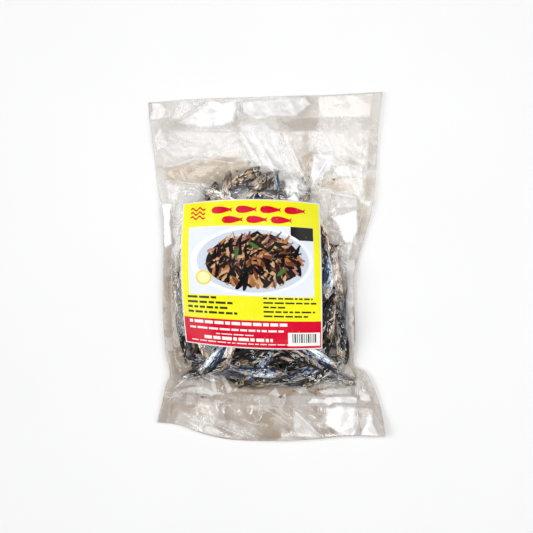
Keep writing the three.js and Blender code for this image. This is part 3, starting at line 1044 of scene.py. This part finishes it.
# Panes between sharp creases: corners, and how white the pane is, or below 0 how clear and brown. The
# white is a painted reflection of the lights, and the brown is painted shade
panes = [
    ([(-49, 143), (-24, 143), (-26, 124), (-43, 119), (-59, 118), (-78, 125)], 1),
    ([(-100, 141), (-88, 141), (-87, 127), (-99, 125)], 0.8),
    ([(-26, 125), (-2, 125.5), (11, 117), (15, 78), (2, 82), (-11, 83)], 0.7),
    ([(-79, 120), (-26, 120), (-21, 99), (-43, 97), (-75, 89), (-92, 102)], 0.35),
    ([(-98, 113), (-90, 119), (-84, 106), (-95, 99)], 0.8),
    ([(-85, 73), (-75, 69), (-76, 57), (-84, 57)], 0.5),
    ([(3, 106), (22, 102), (29, 84), (29, 78), (13, 80)], 0.45),
    ([(36, 113), (64, 123), (83, 127), (84, 95), (79, 92), (58, 98), (47, 103)], 0.18),
    ([(39, 98), (58, 98), (60, 91), (57, 85), (46, 74), (38, 68)], 0.8),
    ([(58, 82), (61, 88), (83, 86), (83, 74), (62, 77)], 0.8),
    ([(17, 75), (30, 77), (36, 66), (30, 57), (20, 60)], 0.45),
    ([(15, 73), (20, 74), (19, 60)], 1.1),
    ([(20, 66), (24, 74), (27, 64)], 1.2),
    ([(17, 57), (24, 63), (27, 56)], 1.2),
    ([(75, 74), (83, 74), (83, 61), (78, 67)], 0.6),
    ([(57, 62), (76, 62), (79, 50), (60, 50)], 0.5),
    ([(80, 58), (90, 56), (90, 52), (80, 54)], 0.7),
    ([(55, 43), (79, 49), (78, 18), (67, 20)], 1.15),
    ([(65, 6), (77, 6), (75, -92), (71, -90), (69.5, -34)], 0.5),
    ([(74.7, -36), (79, -36), (79, -66), (75, -64)], -0.8),
    ([(-92, 54), (-82, 54), (-82, 18), (-89, 18)], 1.15),
    ([(-82, 53), (-73, 53), (-74, 9), (-81, 9)], 0.15),
    ([(-83, 9), (-74, 9), (-71, -91), (-79, -91)], -0.7),
    ([(-74, -98), (-48, -106), (-47, -112), (-73, -108)], -0.6),
    ([(-48, -94), (66, -104), (76, -110), (-47, -113)], -0.9),
    ([(50, -120), (77.5, -120), (77, -147), (64, -145), (49, -136)], 1.3),
    ([(39, -113), (77, -113), (77, -118), (35, -118)], 1),
    ([(87, -123), (96, -147), (81, -147)], 1.1),
    ([(22, -123), (37, -131), (47, -147), (26, -147), (21, -131)], 0.55),
    ([(-75, -122), (-26, -132), (-5, -149), (-21, -150), (-55, -145), (-83, -138)], 0.22),
    ([(-76, -106), (-53, -103), (-34, -110), (-74, -109)], 0.35),
    ([(80, -104), (88, -110), (91, -116), (80, -115)], 0.7),
    ([(53, 82), (61, 76), (76, 74), (68, 64), (57, 64), (45, 70)], -0.7),
    ([(30, 95), (40, 101), (41, 87), (37, 69), (34, 75), (27, 91)], -0.7),
    ([(85, 79), (93, 76), (91, 57), (83, 62)], -0.6),
    ([(79, 52), (89, 52), (84, 13), (78, 13)], -0.4),
    ([(47, 44), (54, 41), (64, 20), (50, 20)], -0.4),
    ([(-88.6, 17), (-83, 17), (-82, 2), (-88, 2)], -0.6),
    ([(-88.5, -8), (-82, -8), (-80, -61), (-87.5, -61)], -1),
    ([(-86, -72), (-79.6, -72), (-76, -92), (-82, -92)], -0.8),
    ([(-90, 85), (-60, 92), (-26, 96), (-12, 84), (-26, 72), (-72, 70), (-88, 74)], -0.85),
    ([(-16, -120), (0, -122), (18, -147), (-2, -149)], -0.6),
    ([(36, -120), (44, -120), (49, -132), (44, -132)], -0.6),
    ([(-74, -109.3), (-30, -113.4), (-30, -114.8), (-74, -110.9)], -1),
    ([(-48, -93), (-44, -92), (-43, -110), (-47, -108)], 0.4),
    ([(-40, -92), (-36, -93), (-30, -104), (-34, -110)], 0.3),
    ([(1, -109), (7, -102), (12, -111)], 0.8),
    ([(24, -104), (33, -103), (37, -109), (27, -110)], 0.5),
    ([(44, -106), (74, -104), (74, -110), (50, -111)], 0.45),
    ([(-74, -97), (-54, -95), (-52, -102), (-76, -104)], 0.2),
    ([(-22, 143), (34, 145), (41, 138), (26, 129), (-8, 127), (-20, 131)], 0.8),
]
# Panes fade in from a little outside their outline to this share of their depth inside it
pane_edge = 0.5
pane_softness = 0.3
# The panes' straight edges wander a little, and small facets in them get more or less of the painted white
# or brown
pane_wander = 1.5
pane_wander_size = 9
pane_facets = [(0.3, 7, 31), (0.2, 3.1, 33)]
film_marks = ("crease", "seal", "loose", "pane")


def seal_at(x, y, across):
    """1 in the seals of the sheet, at places that are across of the bag's width"""
    return welded(x, y, np.minimum(across, 1 - across) * bag_width)


def inside(x, y, corners):
    """1 well inside a convex outline and 0 outside, whichever way round its corners run"""
    middle = np.mean(corners, axis=0)
    depth = np.full_like(x, np.inf)
    for (from_x, from_y), (to_x, to_y) in zip(corners, corners[1:] + corners[:1]):
        across = np.array([to_y - from_y, from_x - to_x]) / math.hypot(to_x - from_x, to_y - from_y)
        if across @ (middle - (from_x, from_y)) < 0:
            across = -across
        depth = np.minimum(depth, across[0] * (x - from_x) + across[1] * (y - from_y))
    return smoothstep(-pane_edge, max(pane_edge, pane_softness * depth.max()), depth)


def front_level(x, y, across):
    """Heights of the front sheet, and how creased, welded, loose, and white with painted reflection or
    brown with painted shade it is
    """
    seal = seal_at(x, y, across)
    level = front_sheet(x, y)
    beside = front_sheet(x - crease_step, y) + front_sheet(x + crease_step, y)
    beside = beside + front_sheet(x, y - crease_step) + front_sheet(x, y + crease_step)
    crease = np.clip((level - beside / 4 - crease_least) / crease_reach, 0, 1)
    loose = smoothstep(*loose_radii, heap_radius(x, y))
    # Spots of painted glare count as loose film, so they get more painted haze and a brighter mirror
    for spot_x, spot_y, reach, glare_share in glare_spots:
        loose = loose + glare_share * np.exp(-((x - spot_x) ** 2 + (y - spot_y) ** 2) / reach**2)
    bent_x = x + pane_wander * crumple(x, y, pane_wander_size, 21)
    bent_y = y + pane_wander * crumple(x, y, pane_wander_size, 22)
    pane = np.zeros_like(x)
    # White panes are painted reflections and brown panes are painted shade
    for corners, whiteness in panes:
        pane = mix(pane, whiteness, inside(bent_x, bent_y, corners))
    pane = pane * (1 + crumpled(x, y, pane_facets))
    return mix(level, back_sheet(x, y) + weld_gap, seal), crease * (1 - seal), seal, loose, pane


def back_level(x, y, across):
    """The same of the back sheet, which is all loose and has no creases or panes"""
    return back_sheet(x, y), np.zeros_like(x), seal_at(x, y, across), np.ones_like(x), np.zeros_like(x)


def add_sheet(bm, cells, level):
    """A grid over the bag's outline at the heights that level gives, with both sheets' rims as one"""
    made = bmesh.ops.create_grid(bm, x_segments=cells[0], y_segments=cells[1], size=0.5)["verts"]
    across, up = np.array([(vert.co.x + 0.5, vert.co.y + 0.5) for vert in made]).T
    x, y = on_bag(across, up).T
    heights, *values = level(x, y, across)
    from_rim = np.minimum(across, 1 - across) * np.minimum(up, 1 - up)
    heights = np.where(from_rim < on_rim, back_sheet(x, y), heights)
    marks = [bm.verts.layers.float[name] for name in film_marks]
    for vert, place, *marked in zip(made, np.stack([x, y, heights], -1) * mm, *values):
        vert.co = place
        for layer, value in zip(marks, marked):
            vert[layer] = value
    return made


# Facets on three scales: facets to a metre, how high their middles stand, how far they differ in
# painted shade, and how wide their painted white edges are
facet_scales = [(24.0, 1.3, 0.45, 0.02), (60.0, 0.4, 0.33, 0.035), (170.0, 0.07, 0.22, 0.07)]
# The hot bars leave fine ribs in the seals
rib_step = 0.0021


def build_creased_film():
    """Creased film in flat facets, each tilted a little by itself, and tinted and hazed with painted shade
    and glare
    """
    given_sockets = {"Side": "Float", "Facet glare": "Float"}
    made_sockets = {name: "Float" for name in ("Relief", "Shade", "Painted shade", "Milk and glare", "Glint")}
    group, given, result = new_group("Creased film", given_sockets, made_sockets)
    crease, seal, loose, pane = (mark(group, name) for name in film_marks)

    # The facets' outlines are warped and drawn out along the bag, and differ from sheet to sheet
    over_bag = node(group, "TexCoord").outputs["Object"]
    warp = node(group, "TexNoise", {"Vector": over_bag, "Scale": 22.0, "Detail": 3.0}).outputs["Color"]
    warp = node(group, "VectorMath", {0: warp, 1: (0.022, 0.03, 0)}, operation="MULTIPLY").outputs[0]
    place = node(group, "VectorMath", {0: over_bag, 1: warp}, operation="ADD").outputs[0]
    aside = node(group, "CombineXYZ", {0: given.outputs["Side"], 1: given.outputs["Side"]}).outputs[0]
    place = node(group, "VectorMath", {0: place, 1: aside}, operation="ADD").outputs[0]
    place = node(group, "VectorMath", {0: place, 1: (1, 0.7, 0)}, operation="MULTIPLY").outputs[0]
    height, facet, edge = 0.0, 0.0, 0.0
    for scale, deep, pale, line in facet_scales:
        cells = node(group, "TexVoronoi", {"Vector": place, "Scale": scale}, voronoi_dimensions="2D")
        rim = node(group, "TexVoronoi", {"Vector": place, "Scale": scale}, voronoi_dimensions="2D")
        rim.feature = "DISTANCE_TO_EDGE"
        value = node(group, "SeparateColor", {0: cells.outputs["Color"]}).outputs[0]
        crest = between_shares(group, rim.outputs["Distance"], line, 0.0)
        height = plus(group, height, times(group, rim.outputs["Distance"], deep))
        facet = plus(group, facet, times(group, value, pale))
        edge = maths(group, "MAXIMUM", edge, crest)
    # Painted highlights along some of the facets' edges
    edge = times(group, edge, between_shares(group, speckle(group, 60.0, 3.0), 0.5, 0.62))

    # Relief: facets, grain and the ribs of the seals
    up = node(group, "SeparateXYZ", {0: over_bag}).outputs[1]
    ribs = maths(group, "SINE", times(group, up, 2 * math.pi / rib_step))
    ribs = times(group, times(group, ribs, seal), 0.25)
    grain = times(group, speckle(group, 75.0, 5.0), 0.12)
    relief = plus(group, plus(group, height, grain), ribs)

    # Tint: painted shade, darker facet by facet and towards the bag's lower end; darker in the seals, and
    # painted shade in brown panes
    uneven = times(group, maths(group, "SUBTRACT", facet, 0.5), 2.2)
    low = plus(group, between_shares(group, up, 0.08, -0.06), uneven)
    shade = between_shares(group, plus(group, low, times(group, seal, 0.5)), 0.2, 1.4)
    # Brown panes are painted shade
    brown = times(group, pane, -1.0, clamp=True)

    # Milk: painted glare on hazed facets and along their edges, painted reflections in white panes, crests
    # of creases that are partly the film's own whitening and partly painted highlight, and the seals
    white = times(group, times(group, pane, 0.88, clamp=True), plus(group, times(group, facet, 1.1), 0.35))
    hazy_glare = times(group, between_shares(group, facet, 0.62, 0.35), given.outputs["Facet glare"])
    hazy_glare = times(group, plus(group, hazy_glare, times(group, edge, 0.22)), loose)
    hazy_glare = times(group, hazy_glare, maths(group, "SUBTRACT", 1.0, brown))
    creased = times(group, crease, plus(group, times(group, loose, 0.4), 0.06))
    milk_and_glare = plus(group, plus(group, hazy_glare, white), creased)
    milk_and_glare = plus(group, milk_and_glare, times(group, seal, 0.05), clamp=True)

    # Film drawn tight over the fish throws back less light than loose film
    glint = plus(group, times(group, loose, 0.18), 0.09)
    values = {"Relief": relief, "Shade": shade, "Painted shade": brown, "Milk and glare": milk_and_glare, "Glint": glint}
    for name, value in values.items():
        group.links.new(value, result.inputs[name])
    return group


creased_film = build_creased_film()
# Brown panes darken the film to this tint as painted shade
painted_shade_tint = (0.84, 0.785, 0.71, 1)
# The milky white is partly the film's own haze and mostly painted glare and reflection
milk_and_glare_white = (0.96, 0.95, 0.95, 1)
film_bump = 0.0012
film_ior = 1.5


def build_film(name, side, light_tint, shaded_tint, facet_glare, shine):
    """Clear where looked through, mirror bright where seen aslant, pale with painted glare and crease white
    """
    material = bpy.data.materials.new(name)
    material.use_nodes = True
    tree = material.node_tree
    tree.nodes.clear()
    creases = tree.nodes.new("ShaderNodeGroup")
    creases.node_tree = creased_film
    creases.inputs["Side"].default_value = side
    creases.inputs["Facet glare"].default_value = facet_glare
    relief = creases.outputs["Relief"]
    bump = node(tree, "Bump", {"Strength": 0.6, "Distance": film_bump, "Height": relief}).outputs[0]
    # The sheet's tint is darkened by painted shade over facets, towards the lower end and in brown panes
    tint = blend(tree, creases.outputs["Shade"], (*light_tint, 1), (*shaded_tint, 1))
    tint = blend(tree, creases.outputs["Painted shade"], tint, painted_shade_tint)
    through = node(tree, "BsdfTransparent", {"Color": tint}).outputs[0]
    mirror = node(tree, "BsdfPrincipled", {
        "Base Color": (1, 1, 1, 1), "Metallic": 1.0, "Roughness": 0.07, "Normal": bump,
    }).outputs[0]
    milky = node(tree, "BsdfPrincipled", {"Base Color": milk_and_glare_white, "Roughness": 0.4}).outputs[0]
    slant = node(tree, "Fresnel", {"IOR": film_ior, "Normal": bump}).outputs[0]
    slant = maths(tree, "MINIMUM", times(tree, slant, shine), creases.outputs["Glint"])
    clear = node(tree, "MixShader", {0: slant, 1: through, 2: mirror}).outputs[0]
    film = node(tree, "MixShader", {0: creases.outputs["Milk and glare"], 1: clear, 2: milky}).outputs[0]
    surface = node(tree, "OutputMaterial")
    tree.links.new(film, surface.inputs["Surface"])
    return material


# Each sheet's darker tint is painted shade, laid on by the group's Shade mask
front_film = build_film("front film", 0.0, (0.978, 0.971, 0.963), (0.93, 0.912, 0.89), 0.2, 0.95)
back_film = build_film("back film", 0.37, (0.968, 0.953, 0.933), (0.74, 0.692, 0.645), 0.06, 0.8)

bm = bmesh.new()
for layer_name in film_marks:
    bm.verts.layers.float.new(layer_name)
add_sheet(bm, front_cells, front_level)
front_count = len(bm.faces)
back = add_sheet(bm, back_cells, back_level)
bm.faces.ensure_lookup_table()
for face in bm.faces[front_count:]:
    face.material_index = 1
# The back's coarser rim gets a corner at each of the front's before the two are joined
rim_edges = [edge for edge in bm.edges if edge.is_boundary]
back_edges = {edge for vert in back for edge in vert.link_edges}
bmesh.ops.subdivide_edges(bm, edges=[edge for edge in rim_edges if edge in back_edges], cuts=1)
rim_verts = {vert for edge in bm.edges if edge.is_boundary for vert in edge.verts}
bmesh.ops.remove_doubles(bm, verts=list(rim_verts), dist=rim_gap * mm)
film = finish_mesh(bm, "film", front_film)
film.data.materials.append(back_film)
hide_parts("bag")


# Label.
# A sheet of coated paper, a little bowed at its edges, is stuck to the film over the middle of the
# heap, and follows the lumps under it. Its print lies in thin layers of gloss ink.

label_cells = (110, 114)
label_gap = 0.15
label_thickness = 0.25
# The label's width and height in the millimetres that places on it are given in
label_size = (117, 121)
ink_step = 0.03


def on_label(across, up):
    """Places on the bag that are across of the label's width and up of its height"""
    corners = {name: np.array(place, float) for name, place in label_corners.items()}
    a, u = across[..., None], up[..., None]
    low = mix(corners["bottom left"], corners["bottom right"], a)
    high = mix(corners["top left"], corners["top right"], a)
    x, y = mix(low, high, u).T
    # The bowed edges reach furthest in their middle
    x = x + mix(-label_bow["left"], label_bow["right"], across) * 4 * up * (1 - up)
    y = y + mix(-label_bow["bottom"], label_bow["top"], up) * 4 * across * (1 - across)
    return x, y


def lay_on_label(verts, across, up, layer):
    """Moves vertices onto the label, as high as their layer of ink"""
    x, y = on_label(across, up)
    z = front_sheet(x, y) + label_gap + label_thickness + layer * ink_step
    for vert, place in zip(verts, np.stack([x, y, z], -1) * mm):
        vert.co = place


def build_coated_print():
    """A gloss ink or coated paper, a little mottled, with a faint grain and rubbed spots"""
    group, given, result = new_group(
        "Coated print", {"Color": "Color", "Rubbed": "Color"},
        {"Color": "Color", "Roughness": "Float", "Height": "Float"},
    )
    mottle = speckle(group, 45.0, 4.0)
    grain = speckle(group, 2400.0, 2.0)
    rubbed = times(group, between_shares(group, speckle(group, 260.0, 6.0), 0.66, 0.76), 0.35)
    colour = blend(group, rubbed, given.outputs["Color"], given.outputs["Rubbed"])
    light = node(group, "MapRange", {"Value": mottle, "To Min": 0.92, "To Max": 1.06}).outputs[0]
    shade = node(group, "CombineColor", {0: light, 1: light, 2: light}).outputs[0]
    rough = node(group, "MapRange", {"Value": mottle, "To Min": 0.16, "To Max": 0.34}).outputs[0]
    relief = plus(group, mottle, times(group, grain, 0.05))
    group.links.new(blend(group, 1.0, colour, shade, "MULTIPLY"), result.inputs["Color"])
    group.links.new(rough, result.inputs["Roughness"])
    group.links.new(relief, result.inputs["Height"])
    return group


coated_print = build_coated_print()
paper_white = (0.88, 0.88, 0.86)
print_bump = 0.0004


def print_material(name, colour):
    """Paper or ink in one colour, with the paper's white where it is rubbed"""
    material, tree, shader = new_material(name, Specular_IOR_Level=0.12)
    ink = tree.nodes.new("ShaderNodeGroup")
    ink.node_tree = coated_print
    ink.inputs["Color"].default_value = (*colour, 1)
    ink.inputs["Rubbed"].default_value = (*paper_white, 1)
    tree.links.new(ink.outputs["Color"], shader.inputs["Base Color"])
    tree.links.new(ink.outputs["Roughness"], shader.inputs["Roughness"])
    bump = node(tree, "Bump", {"Strength": 0.3, "Distance": print_bump, "Height": ink.outputs["Height"]})
    tree.links.new(bump.outputs[0], shader.inputs["Normal"])
    return material


bm = bmesh.new()
made = bmesh.ops.create_grid(bm, x_segments=label_cells[0], y_segments=label_cells[1], size=0.5)["verts"]
across, up = np.array([(vert.co.x + 0.5, vert.co.y + 0.5) for vert in made]).T
lay_on_label(made, across, up, 0)
bmesh.ops.recalc_face_normals(bm, faces=bm.faces)
bmesh.ops.solidify(bm, geom=bm.faces[:], thickness=label_thickness * mm)
label = finish_mesh(bm, "label_paper", print_material("coated paper", paper_white))
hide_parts("label")


# Shapes of ink, on a square from -1 to 1 each way
def oblong(u, v):
    return u, v


def oval(u, v):
    return u * np.sqrt(1 - v * v / 2), v * np.sqrt(1 - u * u / 2)


def leaf(u, v):
    return u, v * (1 - u * u) ** 0.7 + 0.35 * (1 - u * u)


def small_fish(u, v):
    share = (1 + u) / 2
    fork = tail_fork * 2 * np.clip((share - tail_from) / (1 - tail_from), 0, 1) * (1 - np.abs(v))
    return u - fork, v * np.interp(share, outline_share, outline_depth)


def wave(u, v):
    return u, v + 1.6 * np.sin(2 * np.pi * u)


# Cell of the ink's meshes and least cells to a side: straight fields need few, drawn shapes more
field_cells = (1.2, 1)
shape_cells = (0.85, 12)
ink_merge_gap = 0.001


def print_shapes(name, colour, layer, shapes):
    """One colour of ink: each shape with its middle in millimetres, half sizes and turn"""
    bm = bmesh.new()
    for shape, x, y, half_long, half_wide, turn in shapes:
        cell, least = field_cells if shape is oblong else shape_cells
        counts = [max(least, math.ceil(2 * half / cell)) for half in (half_long, half_wide)]
        made = bmesh.ops.create_grid(bm, x_segments=counts[0], y_segments=counts[1], size=1)["verts"]
        u, v = shape(*np.array([vert.co.xy for vert in made]).T)
        c, s = math.cos(math.radians(turn)), math.sin(math.radians(turn))
        right = x + u * half_long * c - v * half_wide * s
        high = y + u * half_long * s + v * half_wide * c
        lay_on_label(made, right / label_size[0], high / label_size[1], layer)
    bmesh.ops.remove_doubles(bm, verts=bm.verts, dist=ink_merge_gap * mm)
    for face in bm.faces:
        if face.normal.z < 0:
            face.normal_flip()
    make_piece(bm, name, print_material(name.replace("_", " "), colour))


word_length = (2.2, 9)
word_gap = 1.3


def dashes(x, y, length, half_wide):
    """One line of plain dashes of uneven length, from its left end"""
    made = []
    end = x + length
    while x < end:
        long = min(between(*word_length), end - x)
        made.append((oblong, x + long / 2, y, long / 2, half_wide, 0))
        x += long + word_gap
    return made


def lines(x, y, lengths, step, half_wide):
    """Lines of dashes a step below each other, each with its own length"""
    made = []
    for row, length in enumerate(lengths):
        made += dashes(x, y - row * step, length, half_wide)
    return made


label_yellow = (0.88, 0.85, 0.014)
label_red = (0.66, 0.0, 0.026)
print_shapes("yellow_field", label_yellow, 1, [(oblong, 58.5, 71.4, 57.5, 48.6, 0)])
print_shapes("red_band", label_red, 1, [(oblong, 58.5, 11.9, 57.5, 10.9, 0)])

# Four small fish over three along the head of the label, and three waves beside them
shoal_place = (34, 112.6)
shoal_step = (20.5, 8.2)
shoal_shift = 9
shoal_fish = (9, 3)
shoal = []
for row, count in enumerate((4, 3)):
    for place in range(count):
        x = shoal_place[0] + shoal_step[0] * place + shoal_shift * row
        shoal.append((small_fish, x, shoal_place[1] - shoal_step[1] * row, *shoal_fish, 0))
waves = [(wave, 13.6, 114.4 - 3.6 * row, 6.2, 0.75, 0) for row in range(3)]
print_shapes("red_shoal", label_red, 2, shoal + waves)

# Rows of dashes in dark and white ink, and a panel of even stripes
dark_ink = (0.03, 0.032, 0.012)
stripe_ink = (0.05, 0.05, 0.06)
dark_dashes = lines(5, 40.4, (24, 38, 33, 41), 4.15, 0.95)
dark_dashes += lines(68, 41, (41, 44, 18, 43, 37), 3.6, 0.7)
print_shapes("dark_dashes", dark_ink, 2, dark_dashes)
white_dashes = lines(5.5, 19.8, (82,), 1, 1.25) + lines(5.5, 14.6, (80,), 1, 0.8)
white_dashes += lines(27, 10.7, (32,), 1, 0.4) + lines(17, 7.2, (58,), 1, 1.3)
white_dashes += lines(6, 3.8, (82,), 1, 0.4)
stripe_panel = (oblong, 101.5, 8.2, 13.6, 5.4, 0)
print_shapes("white_dashes", paper_white, 2, [*white_dashes, stripe_panel])
stripes = [(oblong, 92 + 1.9 * k, 9, 0.35 + 0.3 * (k % 3 == 1), 3.6, 0) for k in range(11)]
print_shapes("dark_stripes", stripe_ink, 3, stripes)

# The picture: a platter heaped with cooked fish, with lemon and leaves, on a pale cloth
print_shapes("picture_cloth", (0.78, 0.82, 0.9), 2, [(oblong, 58.5, 71, 52, 28.5, 0)])
print_shapes("picture_board", (0.006, 0.004, 0.004), 3, [(oblong, 101, 94, 9.4, 5.4, 0)])
print_shapes("picture_rim", (0.87, 0.9, 0.94), 4, [(oval, 59, 71, 51, 28, 0)])
print_shapes("picture_dish", (0.6, 0.66, 0.76), 5, [(oval, 60, 71, 46.5, 25.6, 0)])
sauce = [(oval, 55, 71, 34, 20.5, 4), (oval, 74, 73, 26, 19, -12)]
print_shapes("picture_sauce", (0.008, 0.003, 0.002), 6, sauce)
served = {
    "pink": (0.42, 0.2, 0.17), "amber": (0.45, 0.18, 0.05), "gold": (0.62, 0.38, 0.2),
    "brown": (0.16, 0.05, 0.02), "dark": (0.014, 0.005, 0.004), "black": (0.003, 0.002, 0.002),
}
served_count = 260
served_place = (62, 72)
served_reach = (38.5, 21)
served_lean = 60
served_length = (3.6, 7)
served_width = (0.9, 1.9)
served_layer = 7
served_shapes = {shade: [] for shade in served}
for number in range(served_count):
    reach, heading = draw() ** 0.5, between(0, 2 * math.pi)
    x = served_place[0] + served_reach[0] * reach * math.cos(heading)
    y = served_place[1] + served_reach[1] * reach * math.sin(heading)
    shade = list(served)[number % len(served)]
    turn = math.degrees(heading) / 3 + between(-served_lean, served_lean)
    half_long, half_wide = between(*served_length), between(*served_width)
    served_shapes[shade].append((small_fish, x, y, half_long, half_wide, turn))
for layer, (shade, shapes) in enumerate(served_shapes.items()):
    print_shapes(f"picture_{shade}_fish", served[shade], served_layer + layer, shapes)
leaves = [(leaf, 84, 62, 5, 1.6, 35), (leaf, 47, 77, 4.4, 1.5, 80), (leaf, 61, 84, 4.6, 1.5, 150)]
print_shapes("picture_leaves", (0.05, 0.16, 0.025), 13, leaves)
print_shapes("picture_lemon", (0.85, 0.66, 0.06), 13, [(oval, 19, 57, 6.4, 6, 0)])
print_shapes("picture_lemon_flesh", (0.9, 0.84, 0.42), 14, [(oval, 19, 57, 5.1, 4.7, 0)])


# Floor, lights and camera.
# The bag lies on a pale table top between two broad lights, far off at its left and right, that
# light all of the table alike. Two soft boxes hang over the bag, where the film mirrors them.

scene = bpy.context.scene
scene.cycles.transparent_max_bounces = 24
# Pixels across the photo and across the bag in it
photo_width = 533
bag_pixels = 237
camera_height = 1.6
floor_half = 2.5

bm = bmesh.new()
bmesh.ops.create_grid(bm, x_segments=8, y_segments=8, size=floor_half)
floor_mesh = bpy.data.meshes.new("floor")
bm.to_mesh(floor_mesh)
bm.free()
floor = bpy.data.objects.new("floor", floor_mesh)
scene.collection.objects.link(floor)
table_grey = (0.85, 0.85, 0.85, 1)
table_white = (0.89, 0.89, 0.89, 1)
floor_material, tree, shader = new_material("pale table", Roughness=0.7)
floor_colour = blend(tree, speckle(tree, 6.0, 3.0), table_grey, table_white)
tree.links.new(floor_colour, shader.inputs["Base Color"])
floor_mesh.materials.append(floor_material)

# Where each soft box hangs, its width and height in metres, and its watts
soft_boxes = [((0, 0.22, 1), 0.6, 0.3, 2.3), ((0.08, -0.27, 1), 0.3, 0.12, 1)]
# Each side light's direction, and its strength in watts a square metre
side_lights = [((-1, 0, 0.9), 2.05), ((1, 0.1, 0.9), 1.6)]
side_light_angle = 0.7


def add_lamp(light, place, aim, power):
    """Hangs a light at a place, facing what it is aimed at, out of the camera's sight"""
    light.energy = power
    lamp = bpy.data.objects.new(light.name, light)
    lamp.location = place
    lamp.rotation_euler = (Vector(aim) - Vector(place)).to_track_quat("-Z", "Y").to_euler()
    lamp.visible_camera = False
    scene.collection.objects.link(lamp)


for number, (place, wide, tall, power) in enumerate(soft_boxes):
    light = bpy.data.lights.new(f"soft box {number}", "AREA")
    light.shape = "RECTANGLE"
    light.size = wide
    light.size_y = tall
    add_lamp(light, place, (place[0], place[1], 0), power)
for number, (place, power) in enumerate(side_lights):
    light = bpy.data.lights.new(f"side light {number}", "SUN")
    light.angle = side_light_angle
    add_lamp(light, place, (0, 0, 0), power)

scene.world = bpy.data.worlds.new("pale room")
scene.world.use_nodes = True
room = scene.world.node_tree.nodes["Background"]
room.inputs["Color"].default_value = (0.97, 0.98, 1, 1)
room.inputs["Strength"].default_value = 0.07
scene.view_settings.view_transform = "Standard"

# The lens is as long as gives the bag the share of the picture that it has in the photo
camera = bpy.data.cameras.new("camera")
camera.sensor_width = 36
picture_width = corner_to_corner * photo_width / bag_pixels * mm
camera.lens = camera.sensor_width * camera_height / picture_width
eye = bpy.data.objects.new("camera", camera)
eye.location = (0, 0, camera_height)
scene.collection.objects.link(eye)
scene.camera = eye
